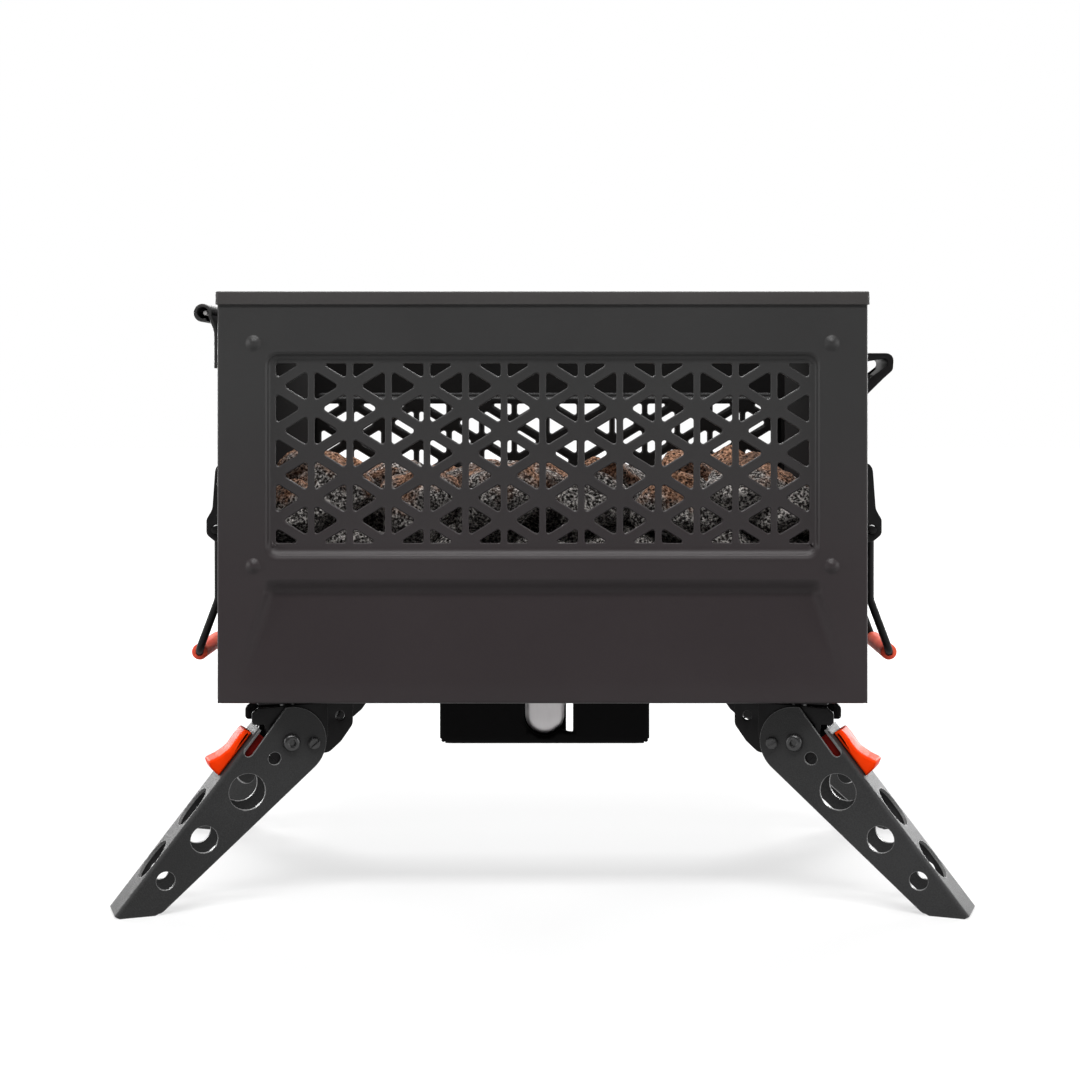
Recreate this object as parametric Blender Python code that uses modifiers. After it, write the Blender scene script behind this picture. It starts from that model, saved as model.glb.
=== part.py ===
"""Portable gas fire pit: a can of pressed sheet steel on four folding legs, at real size in metres.

X runs along the can, -Y is the front with the perforated window, and z = 0 is the ground under the feet.
"""

import math

import bmesh
import bpy
from mathutils import Matrix, Vector

for old in list(bpy.data.objects):
    bpy.data.objects.remove(old, do_unlink=True)

# The can
CAN_WIDTH = 0.3646
CAN_DEPTH = 0.200
CAN_HEIGHT = 0.231
CAN_BOTTOM = 0.115
SHEET = 0.0015
GAP = 0.0003

# The perforated window
WINDOW_HALF_WIDTH = 0.156
WINDOW_HEIGHT = 0.1185
WINDOW_FRONT_LOW = 0.0795
WINDOW_REAR_LOW = 0.0555
WINDOW_SLOPE = 0.004
WINDOW_DEPTH = 0.0025
FIELD_HEIGHT = 0.1008
FIELD_MARGIN = 0.0103
BAR_PITCH = 0.02169
BAR_HALF = 0.00195
ROW_PITCH = 0.0252
HOLE_WIDTH = 0.0129
HOLE_HEIGHT = 0.0137

# The wedge-shaped pressing under the front window
STEP_TOP = 0.0665
STEP_LOW = 0.014
STEP_TOP_HALF = 0.1555
STEP_LOW_HALF = 0.172
STEP_DEPTH = 0.002

# Rivets of the panels
RIVET_X = 0.162
RIVET_LOW = 0.0772
RIVET_HIGH = 0.202
RIVET_SHANK = 0.002

# The legs, each drawn about its pivot with +X outwards and +Z up
LEG_TURN = math.radians(20)
PIVOT_X = 0.147
PIVOT_Y = 0.075
PIVOT_DROP = 0.024
LEG_WIDTH = 0.027
LEG_SHEET = 0.002
HEAD_RADIUS = 0.020
OUTER_EDGE = math.radians(-51.2)
INNER_EDGE = math.radians(-41.2)
PIVOT_SHANK = 0.0027
PIN_SHANK = 0.002
PIN_PLACE = (-0.0129, -0.0011)
PEEP_PLACE = (0.0096, -0.0085)
LIGHTENING = ((0.0251, -0.0262, 0.0103), (0.0491, -0.0510, 0.0076), (0.0703, -0.0722, 0.0052))
WEB_SLOTS = ((0.0487, 0.0733), (0.0843, 0.1085))
WEB_SLOT_HALF = 0.0098
BRACKET_HALF = 0.0112
CHEEK = 0.0018
FOLD_DEGREES = 135

# The release buttons, along the leg's outer face
BUTTON_TRAVEL = 0.006
BUTTON_HALF = 0.008
SLIDER_HALF = 0.0085
SLIDER_NEAR = 0.007
SLIDER_FAR = 0.033
SLIDER_LOW = 0.0122

# The side pieces
HANDLE_PIVOT_OFF = 0.012
HANDLE_PIVOT_HEIGHT = 0.093
EAR_HALF = 0.038
WIRE = 0.00235
GRIP_OFF = 0.024
GRIP_DROP = 0.074
SLEEVE_RADIUS = 0.0048
SLEEVE_HALF = 0.030
HINGE_HALF = 0.092
CATCH_HALF = 0.021

# The burner
TRAY_HEIGHT = 0.060
BURNER_HEIGHT = 0.0745
BURNER_RADIUS = 0.010
RISER_RADIUS = 0.009
VENTURI_DROP = 0.0216
VENTURI_RADIUS = 0.012
SHIELD_HALF_WIDTH = 0.0635
SHIELD_HALF_DEPTH = 0.0135
SHIELD_DROP = 0.039

HALF_WIDTH = CAN_WIDTH / 2
HALF_DEPTH = CAN_DEPTH / 2
CAN_TOP = CAN_BOTTOM + CAN_HEIGHT
PIVOT_Z = CAN_BOTTOM - PIVOT_DROP
CORNERS = {
    "front_left": (-1, -1, math.pi + LEG_TURN, -1),
    "front_right": (1, -1, -LEG_TURN, 1),
    "rear_left": (-1, 1, math.pi - LEG_TURN, 1),
    "rear_right": (1, 1, LEG_TURN, -1),
}

# The bed of rocks on the tray, with its heights above the can's bottom
BED_HALF = (HALF_WIDTH - 0.012, HALF_DEPTH - 0.0115)
BED_VALLEY = 0.094
BED_DRAW = 0.009
BED_CELLS = (28, 16, 4)
ROCK_PITCH = (0.0475, 0.043)
ROCK_HALF = (0.027, 0.024)
ROCK_LAYERS = ((0.079, 0.0165), (0.111, 0.022))

parts = bpy.data.collections.new("fire_pit")
cutters = bpy.data.collections.new("cutters")
bpy.context.scene.collection.children.link(parts)
bpy.context.scene.collection.children.link(cutters)


# Materials

def material(name, colour, roughness, metallic=0.0):
    made = bpy.data.materials.new(name)
    made.use_nodes = True
    shader = made.node_tree.nodes["Principled BSDF"]
    shader.inputs["Base Color"].default_value = (*colour, 1)
    shader.inputs["Roughness"].default_value = roughness
    shader.inputs["Metallic"].default_value = metallic
    return made


CAN_PAINT = material("can_paint", (0.045, 0.042, 0.042), 0.55)
LEG_PAINT = material("leg_paint", (0.040, 0.040, 0.040), 0.50)
BLACK_STEEL = material("black_steel", (0.012, 0.011, 0.011), 0.45, 0.4)
BRIGHT_STEEL = material("bright_steel", (0.42, 0.41, 0.41), 0.35, 1.0)
BRASS = material("brass_fitting", (0.60, 0.42, 0.16), 0.30, 1.0)
ORANGE = material("orange_plastic", (0.90, 0.10, 0.02), 0.40)
RED = material("orange_sleeve", (0.85, 0.09, 0.03), 0.50)
LAVA = material("lava_rock", (0.05, 0.04, 0.035), 0.95)


# Shapes

def link(name, mesh, paint, where=Matrix(), parent=None):
    """A named part from a mesh, standing where its matrix puts it."""
    made = bpy.data.objects.new(name, mesh)
    made.matrix_world = where
    mesh.materials.clear()
    mesh.materials.append(paint)
    parts.objects.link(made)
    if parent:
        made.parent = parent
        made.matrix_parent_inverse = parent.matrix_world.inverted()
    return made


def helper(name, mesh, where=Matrix()):
    made = bpy.data.objects.new(name, mesh)
    made.matrix_world = where
    made.hide_render = True
    made.display_type = "WIRE"
    cutters.objects.link(made)
    return made


def combine(target, other, operation):
    change = target.modifiers.new(other.name, "BOOLEAN")
    change.operation = operation
    change.solver = "EXACT"
    change.object = other


def finish(bm, name):
    bmesh.ops.remove_doubles(bm, verts=bm.verts, dist=1e-7)
    bmesh.ops.recalc_face_normals(bm, faces=bm.faces)
    mesh = bpy.data.meshes.new(name)
    bm.to_mesh(mesh)
    bm.free()
    return mesh


def plate(name, outlines, thickness):
    """A flat plate in local XY, centred on z = 0: the first outline is its edge and the others are holes."""
    curve = bpy.data.curves.new(name, "CURVE")
    curve.dimensions = "2D"
    curve.fill_mode = "BOTH"
    curve.extrude = thickness / 2
    for outline in outlines:
        spline = curve.splines.new("POLY")
        spline.points.add(len(outline) - 1)
        for point, (x, y) in zip(spline.points, outline):
            point.co = (x, y, 0, 1)
        spline.use_cyclic_u = True
    holder = bpy.data.objects.new(name, curve)
    cutters.objects.link(holder)
    bpy.context.view_layer.update()
    flat = bpy.data.meshes.new_from_object(holder.evaluated_get(bpy.context.evaluated_depsgraph_get()))
    bpy.data.objects.remove(holder, do_unlink=True)
    bm = bmesh.new()
    bm.from_mesh(flat)
    return finish(bm, name)


def tube_mesh(name, points, radius, resolution=2):
    """A wire along the points, as a closed mesh with its caps welded."""
    curve = bpy.data.curves.new(name, "CURVE")
    curve.dimensions = "3D"
    curve.bevel_depth = radius
    curve.bevel_resolution = resolution
    curve.use_fill_caps = True
    spline = curve.splines.new("POLY")
    spline.points.add(len(points) - 1)
    for point, place in zip(spline.points, points):
        point.co = (*place, 1)
    holder = bpy.data.objects.new(name, curve)
    cutters.objects.link(holder)
    bpy.context.view_layer.update()
    wire = bpy.data.meshes.new_from_object(holder.evaluated_get(bpy.context.evaluated_depsgraph_get()))
    bpy.data.objects.remove(holder, do_unlink=True)
    bm = bmesh.new()
    bm.from_mesh(wire)
    return finish(bm, name)


def box_mesh(name, low, high):
    bm = bmesh.new()
    bmesh.ops.create_cube(bm, size=1)
    size = Vector(high) - Vector(low)
    middle = (Vector(high) + Vector(low)) / 2
    bmesh.ops.transform(bm, matrix=Matrix.Translation(middle) @ Matrix.Diagonal((*size, 1)), verts=bm.verts)
    return finish(bm, name)


def cylinders_mesh(name, rods, segments=16):
    """Separate closed rods, each given as (centre, axis letter, radius, length)."""
    turns = {"X": Matrix.Rotation(math.pi / 2, 4, "Y"), "Y": Matrix.Rotation(math.pi / 2, 4, "X"), "Z": Matrix()}
    bm = bmesh.new()
    for centre, axis, radius, length in rods:
        where = Matrix.Translation(centre) @ turns[axis]
        bmesh.ops.create_cone(bm, cap_ends=True, cap_tris=False, segments=segments, radius1=radius,
                              radius2=radius, depth=length, matrix=where)
    return finish(bm, name)


def turned(name, profile, paint, where, steps=16, parent=None):
    """A solid of revolution about local Z from a profile of (radius, height), listed from top to bottom."""
    mesh = bpy.data.meshes.new(name)
    mesh.from_pydata([(r, 0, z) for r, z in profile], [(i, i + 1) for i in range(len(profile) - 1)], [])
    made = link(name, mesh, paint, where, parent)
    spin = made.modifiers.new("turn", "SCREW")
    spin.steps = steps
    spin.render_steps = steps
    spin.use_merge_vertices = True
    spin.merge_threshold = 0.00001
    spin.use_smooth_shade = True
    return made


def folded_strip(name, path, half_width, thickness, paint, where=Matrix()):
    """Sheet metal bent along a path of (x, z), as wide as 2 * half_width along Y."""
    bm = bmesh.new()
    near = [bm.verts.new((x, -half_width, z)) for x, z in path]
    far = [bm.verts.new((x, half_width, z)) for x, z in path]
    for i in range(len(path) - 1):
        bm.faces.new((near[i], near[i + 1], far[i + 1], far[i]))
    mesh = bpy.data.meshes.new(name)
    bm.to_mesh(mesh)
    bm.free()
    made = link(name, mesh, paint, where)
    wall = made.modifiers.new("sheet", "SOLIDIFY")
    wall.thickness = thickness
    wall.offset = 0
    wall.use_even_offset = True
    return made


def arc(x, y, radius, start, end, count):
    """Points on an arc from start to end degrees, both included."""
    angles = [math.radians(start + (end - start) * i / (count - 1)) for i in range(count)]
    return [(x + radius * math.cos(a), y + radius * math.sin(a)) for a in angles]


def ring(x, y, radius, count=12):
    return arc(x, y, radius, 0, 360 - 360 / count, count)


def rounded(low_x, low_y, high_x, high_y, radius, count=3):
    """A rectangle with rounded corners, anticlockwise from its lower right corner."""
    r = radius
    return (arc(high_x - r, low_y + r, r, -90, 0, count) + arc(high_x - r, high_y - r, r, 0, 90, count)
            + arc(low_x + r, high_y - r, r, 90, 180, count) + arc(low_x + r, low_y + r, r, 180, 270, count))


def upright(x=0, y=0, z=0):
    """Turns a plate's XY into world XZ, with its thickness along Y."""
    return Matrix.Translation((x, y, z)) @ Matrix.Rotation(math.pi / 2, 4, "X")


# The pressed panels

def triangle_hole(bar_x, side, centre_z, low, high):
    """A triangle that points away from its bar, or its inner half where the other would leave the field."""
    base = bar_x + side * BAR_HALF
    tip = base + side * HOLE_WIDTH
    half = HOLE_HEIGHT / 2
    top = min(centre_z + half, high)
    bottom = max(centre_z - half, low)
    return [(base, bottom), (tip, centre_z), (base, top)]


def window_holes(low, high):
    holes = []
    for bar in range(-7, 8):
        odd = bar % 2 == 1
        rows = 5 if odd else 4
        first = high if odd else high - ROW_PITCH / 2
        sides = (1,) if bar == -7 else (-1,) if bar == 7 else (1, -1)
        for row in range(rows):
            for side in sides:
                holes.append(triangle_hole(bar * BAR_PITCH, side, first - row * ROW_PITCH, low, high))
    return holes


def pressed_panel(name, window_low, with_step, where):
    """A sheet in local XZ that faces -Y: flat round a recess, whose floor holds the window's holes."""
    bm = bmesh.new()

    def loop(outline, depth):
        points = [bm.verts.new((x, depth(x, z) if callable(depth) else depth, z)) for x, z in outline]
        return points, [bm.edges.new((points[i - 1], points[i])) for i in range(len(points))]

    def fill(edges):
        bmesh.ops.triangle_fill(bm, use_beauty=True, use_dissolve=False, edges=edges)

    top = CAN_HEIGHT - SHEET - GAP * 2
    window_high = window_low + WINDOW_HEIGHT
    slope = WINDOW_SLOPE
    edge = loop([(-HALF_WIDTH, 0), (HALF_WIDTH, 0), (HALF_WIDTH, top), (-HALF_WIDTH, top)], 0)
    brow = loop(rounded(-WINDOW_HALF_WIDTH, window_low, WINDOW_HALF_WIDTH, window_high, 0.007), 0)
    floor = loop(rounded(slope - WINDOW_HALF_WIDTH, window_low + slope, WINDOW_HALF_WIDTH - slope,
                         window_high - slope, 0.004), WINDOW_DEPTH)
    rivets = [loop(ring(side * RIVET_X, height, RIVET_SHANK + GAP, 8), 0)
              for side in (-1, 1) for height in (RIVET_LOW, RIVET_HIGH)]
    flat = edge[1] + brow[1] + [e for hole in rivets for e in hole[1]]
    if with_step:
        lip = STEP_TOP - 0.0035
        step = loop([(-STEP_LOW_HALF, STEP_LOW), (STEP_LOW_HALF, STEP_LOW), (STEP_TOP_HALF, STEP_TOP),
                     (-STEP_TOP_HALF, STEP_TOP)], 0)
        inner = [bm.verts.new((side * (STEP_TOP_HALF - 0.003), STEP_DEPTH, lip)) for side in (1, -1)]
        low_left, low_right, high_right, high_left = step[0]
        bm.faces.new((low_left, low_right, inner[0], inner[1]))
        bm.faces.new((low_right, high_right, inner[0]))
        bm.faces.new((high_right, high_left, inner[1], inner[0]))
        bm.faces.new((high_left, low_left, inner[1]))
        flat += step[1]
    fill(flat)
    bmesh.ops.bridge_loops(bm, edges=brow[1] + floor[1])
    field_low = window_low + WINDOW_HEIGHT / 2 - FIELD_HEIGHT / 2 + (0.0014 if with_step else 0)
    holes = [loop(hole, WINDOW_DEPTH) for hole in window_holes(field_low, field_low + FIELD_HEIGHT)]
    fill(floor[1] + [e for hole in holes for e in hole[1]])
    bmesh.ops.recalc_face_normals(bm, faces=bm.faces)
    if sum(face.normal.y * face.calc_area() for face in bm.faces) > 0:
        bmesh.ops.reverse_faces(bm, faces=bm.faces)
    mesh = bpy.data.meshes.new(name)
    bm.to_mesh(mesh)
    bm.free()
    made = link(name, mesh, CAN_PAINT, where)
    wall = made.modifiers.new("sheet", "SOLIDIFY")
    wall.thickness = SHEET
    wall.offset = -1
    wall.use_even_offset = True
    return made


def make_panels():
    pressed_panel("front_panel", WINDOW_FRONT_LOW, True, Matrix.Translation((0, -HALF_DEPTH, CAN_BOTTOM)))
    turn = Matrix.Rotation(math.pi, 4, "Z")
    pressed_panel("rear_panel", WINDOW_REAR_LOW, False, Matrix.Translation((0, HALF_DEPTH, CAN_BOTTOM)) @ turn)


def make_side_wall(name, side):
    """A channel whose two narrow flanges lie behind the panels, with the rivet holes in them."""
    inside = HALF_WIDTH - SHEET
    reach = HALF_DEPTH - SHEET - GAP
    toe = RIVET_X - 0.0036
    outline = [(HALF_WIDTH, -reach), (HALF_WIDTH, reach), (toe, reach), (toe, reach - SHEET),
               (inside, reach - SHEET), (inside, SHEET - reach), (toe, SHEET - reach), (toe, -reach)]
    tall = CAN_HEIGHT - SHEET - GAP * 2
    mesh = plate(name, [[(side * x, y) for x, y in outline]], tall)
    made = link(name, mesh, CAN_PAINT, Matrix.Translation((0, 0, CAN_BOTTOM + tall / 2)))
    rods = [((side * RIVET_X, end * reach, CAN_BOTTOM + height), "Y", RIVET_SHANK + GAP, 0.01)
            for end in (-1, 1) for height in (RIVET_LOW, RIVET_HIGH)]
    combine(made, helper(name + "_holes", cylinders_mesh(name + "_holes", rods, 8)), "DIFFERENCE")
    far, near = sorted((side * (STEP_LOW_HALF + 0.0015), side * (toe - 0.001)))
    relief = box_mesh(name + "_relief", (far, -reach - 0.001, CAN_BOTTOM + STEP_LOW - 0.003),
                      (near, 0.001 + SHEET - reach, CAN_BOTTOM + STEP_TOP + 0.001))
    combine(made, helper(name + "_relief", relief), "DIFFERENCE")


def make_bottom_plate():
    half_x = HALF_WIDTH - SHEET - GAP
    half_y = HALF_DEPTH - 2 * SHEET - 2 * GAP
    outlines = [[(-half_x, -half_y), (half_x, -half_y), (half_x, half_y), (-half_x, half_y)],
                ring(0, 0, RISER_RADIUS + GAP, 16)]
    outlines += [ring(x * PIVOT_X, y * PIVOT_Y, 0.0028, 8) for x, y, _, _ in CORNERS.values()]
    mesh = plate("bottom_plate", outlines, SHEET)
    link("bottom_plate", mesh, CAN_PAINT, Matrix.Translation((0, 0, CAN_BOTTOM + SHEET / 2)))


def make_top_rim():
    """A folded channel open downwards: an outer lip over the panels, a flat top and an inner skirt."""
    outer = 0.0011
    rings = [(outer, -0.0073), (outer, 0), (-0.0135, 0), (-0.0135, -0.011)]
    bm = bmesh.new()
    loops = []
    for grow, height in rings:
        corner = 0.0012 if grow > 0 else 0.003
        outline = rounded(-HALF_WIDTH - grow, -HALF_DEPTH - grow, HALF_WIDTH + grow, HALF_DEPTH + grow, corner)
        verts = [bm.verts.new((x, y, height)) for x, y in outline]
        loops.append([bm.edges.new((verts[i - 1], verts[i])) for i in range(len(verts))])
    for low, high in zip(loops, loops[1:]):
        bmesh.ops.bridge_loops(bm, edges=low + high)
    bmesh.ops.recalc_face_normals(bm, faces=bm.faces)
    if sum(face.normal.z for face in bm.faces) < 0:
        bmesh.ops.reverse_faces(bm, faces=bm.faces)
    mesh = bpy.data.meshes.new("top_rim")
    bm.to_mesh(mesh)
    bm.free()
    made = link("top_rim", mesh, CAN_PAINT, Matrix.Translation((0, 0, CAN_TOP)))
    wall = made.modifiers.new("sheet", "SOLIDIFY")
    wall.thickness = 0.0008
    wall.offset = -1
    wall.use_even_offset = True


def make_panel_rivets():
    grip = 2 * SHEET + GAP
    profile = [(0, 0.0019), (0.0024, 0.0015), (0.0040, GAP), (RIVET_SHANK, GAP), (RIVET_SHANK, -grip - GAP),
               (0.0030, -grip - GAP), (0, -grip - 0.0016)]
    for end, face in (("front", -1), ("rear", 1)):
        for side, across in (("left", -1), ("right", 1)):
            for level, height in (("lower", RIVET_LOW), ("upper", RIVET_HIGH)):
                where = Matrix.Translation((across * RIVET_X, face * HALF_DEPTH, CAN_BOTTOM + height))
                turn = Matrix.Rotation(-face * math.pi / 2, 4, "X")
                turned(f"rivet_{end}_{side}_{level}", profile, CAN_PAINT, where @ turn, 8)


# The lid's fittings on the side walls

def make_hinge():
    """A leaf on the left wall that rises into an open rolled knuckle, and the rod inside it."""
    off, height, curl = 0.0097, 0.2193, 0.0042
    leaf = 0.0013
    path = [(leaf, 0.188), (leaf, 0.2085)]
    path += [(off - x, height + z) for x, z in arc(0, 0, curl, -20, 294, 13)]
    path = [(-HALF_WIDTH - x, CAN_BOTTOM + z) for x, z in path]
    folded_strip("hinge_leaf", path, HINGE_HALF, 0.002, CAN_PAINT)
    rod = [((-HALF_WIDTH - 0.0083, 0, CAN_BOTTOM + height), "Y", 0.0015, HINGE_HALF * 2 - 0.002)]
    link("hinge_rod", cylinders_mesh("hinge_rod", rod, 10), BRIGHT_STEEL)


def make_catch():
    """The keeper that a lid's latch would pull on: a base, two gussets and a rolled nose between them."""
    gusset = [(0.001, 0.162), (0.0219, 0.1826), (0.0246, 0.184), (0.028, 0.1895), (0.0285, 0.1930), (0.027, 0.1965),
              (0.024, 0.198), (0.001, 0.198)]
    nose = [(0.012, 0.1966), (0.0235, 0.1966), (0.0262, 0.1950), (0.0268, 0.1925), (0.0262, 0.1895), (0.0235, 0.1852),
            (0.0205, 0.1832), (0.0190, 0.1850), (0.0215, 0.1872), (0.0240, 0.1905), (0.0243, 0.1930), (0.0225, 0.1945),
            (0.012, 0.1945)]
    base = box_mesh("latch_catch", (HALF_WIDTH + GAP, -CATCH_HALF, CAN_BOTTOM + 0.158),
                    (HALF_WIDTH + 0.0018, CATCH_HALF, CAN_BOTTOM + 0.201))
    made = link("latch_catch", base, CAN_PAINT)
    for label, outline, y, thickness in (("near", gusset, -CATCH_HALF + 0.001, 0.002),
                                         ("far", gusset, CATCH_HALF - 0.001, 0.002),
                                         ("nose", nose, 0, CATCH_HALF * 2 - 0.002)):
        mesh = plate("catch_" + label, [outline], thickness)
        combine(made, helper("catch_" + label, mesh, upright(HALF_WIDTH, y, CAN_BOTTOM)), "UNION")


# The carrying handles

def make_handle_bracket(name, side):
    """A base plate on the wall with two ears that stand off it, which carry the wire's ends."""
    top = HANDLE_PIVOT_HEIGHT
    ear = [(0.001, top - 0.0075), (0.0115, top - 0.0075), (0.015, top - 0.0055), (0.0178, top - 0.001),
           (0.0178, top + 0.0045), (0.0152, top + 0.008), (0.0136, top + 0.018), (0.0128, top + 0.029),
           (0.0115, top + 0.036), (0.008, top + 0.040), (0.001, top + 0.040)]
    hole = ring(HANDLE_PIVOT_OFF, top, WIRE + GAP, 10)
    base = box_mesh(name, (HALF_WIDTH + GAP, -EAR_HALF - 0.004, CAN_BOTTOM + top - 0.010),
                    (HALF_WIDTH + 0.0018, EAR_HALF + 0.004, CAN_BOTTOM + top + 0.044))
    if side < 0:
        base.transform(Matrix.Rotation(math.pi, 4, "Z"))
    made = link(name, base, BLACK_STEEL)
    for label, y in (("near", -EAR_HALF), ("far", EAR_HALF)):
        mesh = plate(f"{name}_{label}", [ear, hole], 0.002)
        turn = Matrix.Rotation(0 if side > 0 else math.pi, 4, "Z")
        where = Matrix.Translation((0, y, 0)) @ turn @ upright(HALF_WIDTH, 0, CAN_BOTTOM)
        combine(made, helper(f"{name}_{label}", mesh, where), "UNION")


def bail_points():
    """Half of the wire, from its end in an ear to the middle of the grip: (off the wall, along Y, height)."""
    x0, z0 = HANDLE_PIVOT_OFF, HANDLE_PIVOT_HEIGHT
    bend = 0.004
    arm = EAR_HALF - 0.0055
    kick = (x0, z0 - 0.042)
    grip = (GRIP_OFF, z0 - GRIP_DROP)
    points = [(x0, EAR_HALF + 0.0045, z0), (x0, arm + bend, z0)]
    points += [(x0, arm + bend - bend * math.sin(a), z0 - bend + bend * math.cos(a)) for a in (0.5, 1.05)]
    points += [(x0, arm, z0 - bend), (x0, arm, kick[1] + 0.006), (x0 + 0.0006, arm, kick[1] + 0.001)]
    lean = math.atan2(grip[0] - x0, kick[1] - grip[1])
    down = Vector((math.sin(lean), 0, -math.cos(lean)))
    end = Vector((grip[0], arm, grip[1]))
    points += [tuple(end - down * 0.026)]
    points += [tuple(end - down * bend * (1 - math.sin(a)) - Vector((0, bend * (1 - math.cos(a)), 0)))
               for a in (0.0, 0.52, 1.05, 1.57)]
    return points + [(grip[0], 0, grip[1])]


def make_handle(name, side):
    """The bent wire and the sleeve on its grip, hung on an empty at the pivot."""
    pivot = bpy.data.objects.new(f"handle_{name}_axis", None)
    pivot.location = (side * (HALF_WIDTH + HANDLE_PIVOT_OFF), 0, CAN_BOTTOM + HANDLE_PIVOT_HEIGHT)
    parts.objects.link(pivot)
    bpy.context.view_layer.update()
    half = [(side * (HALF_WIDTH + x), -y, CAN_BOTTOM + z) for x, y, z in bail_points()]
    whole = half[:-1] + [(x, -y, z) for x, y, z in half[::-1]]
    link(f"handle_wire_{name}", tube_mesh(f"handle_wire_{name}", whole, WIRE), BLACK_STEEL, parent=pivot)
    bore = WIRE + GAP
    profile = [(bore, SLEEVE_HALF - 0.001), (SLEEVE_RADIUS - 0.0006, SLEEVE_HALF - 0.001),
               (SLEEVE_RADIUS, SLEEVE_HALF - 0.0018), (SLEEVE_RADIUS, 0.0018 - SLEEVE_HALF),
               (SLEEVE_RADIUS - 0.0006, 0.001 - SLEEVE_HALF), (bore, 0.001 - SLEEVE_HALF),
               (bore, SLEEVE_HALF - 0.001)]
    where = Matrix.Translation((side * (HALF_WIDTH + GRIP_OFF), 0, CAN_BOTTOM + HANDLE_PIVOT_HEIGHT - GRIP_DROP))
    turned(f"handle_sleeve_{name}", profile, RED, where @ Matrix.Rotation(math.pi / 2, 4, "X"), 14, pivot)


# The folding legs

def leg_direction(angle):
    return math.cos(angle), math.sin(angle)


def leg_point(along, out):
    """Leg coordinates of a point given along the outer face from the pivot's level, and out from the pivot."""
    x, z = leg_direction(OUTER_EDGE)
    return along * x - out * z, along * z + out * x


def leg_outline(grow=0.0, foot=0.0):
    """The side plate: a round head whose two tangents run down to the foot."""
    radius = HEAD_RADIUS + grow
    low = PIVOT_DROP - CAN_BOTTOM - foot
    start = math.degrees(OUTER_EDGE) + 90
    stop = math.degrees(INNER_EDGE) + 270
    head = arc(0, 0, radius, start, stop, 13)
    outer_x, outer_z = leg_direction(OUTER_EDGE)
    inner_x, inner_z = leg_direction(INNER_EDGE)
    toe = (head[0][0] + (low - head[0][1]) / outer_z * outer_x, low)
    heel = (head[-1][0] + (low - head[-1][1]) / inner_z * inner_x, low)
    if foot:
        return head + [heel, toe]
    return head + [(heel[0] - 0.0028, low + 0.0025), (heel[0] + 0.0008, low + 0.0004), (heel[0] + 0.003, low), toe]


def slot_outline(start, end, half):
    return arc(end - half, 0, half, -90, 90, 5) + arc(start + half, 0, half, 90, 270, 5)


def leg_web_frame():
    """Places a plate drawn in local XY on the leg's outer face: X runs along the face and Y across it."""
    x, z = leg_direction(OUTER_EDGE)
    out = Vector((-z, 0, x))
    return Matrix(((x, 0, out.x, 0), (0, 1, 0, 0), (z, 0, out.z, 0), (0, 0, 0, 1)))


def leg_cutters():
    """Everything that is taken out of the leg's blank, as helpers at the origin that move with no leg."""
    inside = LEG_WIDTH - 2 * LEG_SHEET
    wide = leg_outline(0.02, 0.03)
    outer = [leg_point(a, HEAD_RADIUS - LEG_SHEET) for a in (-0.06, 0.2)]
    inner = [(outer[1][0] - 0.25, outer[1][1]), (outer[0][0] - 0.16, outer[0][1] + 0.03)]
    hollow = plate("leg_hollow", [[outer[0], outer[1], inner[0], inner[1]]], inside)
    head = plate("leg_head_hollow", [[leg_point(a, n) for a, n in
                                      ((0.0047, 0.03), (0.0047, HEAD_RADIUS - 0.003), (-0.05, 0.0), (-0.05, 0.06))]], inside)
    notch = plate("leg_notch", [[leg_point(a, n) for a, n in
                                 ((0.021, 0.0148), (0.021, 0.018), (-0.02, 0.018), (-0.02, 0.0148))]], 0.04)
    tongue = plate("leg_tongue", [[leg_point(a, n) for a, n in
                                   ((0.0047, 0.0172), (0.0047, 0.03), (-0.03, 0.03), (-0.03, 0.0172))]], 0.04)
    rods = [((0, 0, 0), "Y", PIVOT_SHANK + GAP, 0.05), ((PIN_PLACE[0], 0, PIN_PLACE[1]), "Y", PIN_SHANK + GAP, 0.05),
            ((PEEP_PLACE[0], 0, PEEP_PLACE[1]), "Y", 0.0036, 0.05)]
    rods += [((x, 0, z), "Y", radius, 0.05) for x, z, radius in LIGHTENING]
    slots = [plate("leg_slot", [slot_outline(a, b, WEB_SLOT_HALF)], 0.006) for a, b in WEB_SLOTS]
    stem = plate("leg_stem_slot", [[(0.0157, -0.004), (0.0344, -0.004), (0.0344, 0.004), (0.0157, 0.004)]], 0.006)
    made = [helper(mesh.name, mesh, upright()) for mesh in (hollow, head, notch, tongue)]
    made.append(helper("leg_rods", cylinders_mesh("leg_rods", rods, 12)))
    web = leg_web_frame() @ Matrix.Translation((0, 0, HEAD_RADIUS - LEG_SHEET / 2))
    made += [helper(mesh.name, mesh, web) for mesh in slots + [stem]]
    return made, wide


def make_leg_mesh():
    """The leg as one mesh about its pivot, cut once and then shared by the four legs."""
    blank = helper("leg_blank", plate("leg_blank", [leg_outline()], LEG_WIDTH), upright())
    for cutter in leg_cutters()[0]:
        combine(blank, cutter, "DIFFERENCE")
    seat = box_mesh("spring_seat", (-0.001, -0.0045, -0.0055), (0.001, 0.0045, 0.0004))
    place = leg_web_frame() @ Matrix.Translation((0.0474, 0, HEAD_RADIUS - LEG_SHEET))
    combine(blank, helper("spring_seat", seat, place), "UNION")
    bpy.context.view_layer.update()
    mesh = bpy.data.meshes.new_from_object(blank.evaluated_get(bpy.context.evaluated_depsgraph_get()))
    mesh.transform(blank.matrix_world)
    mesh.name = "leg"
    return mesh


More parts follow.
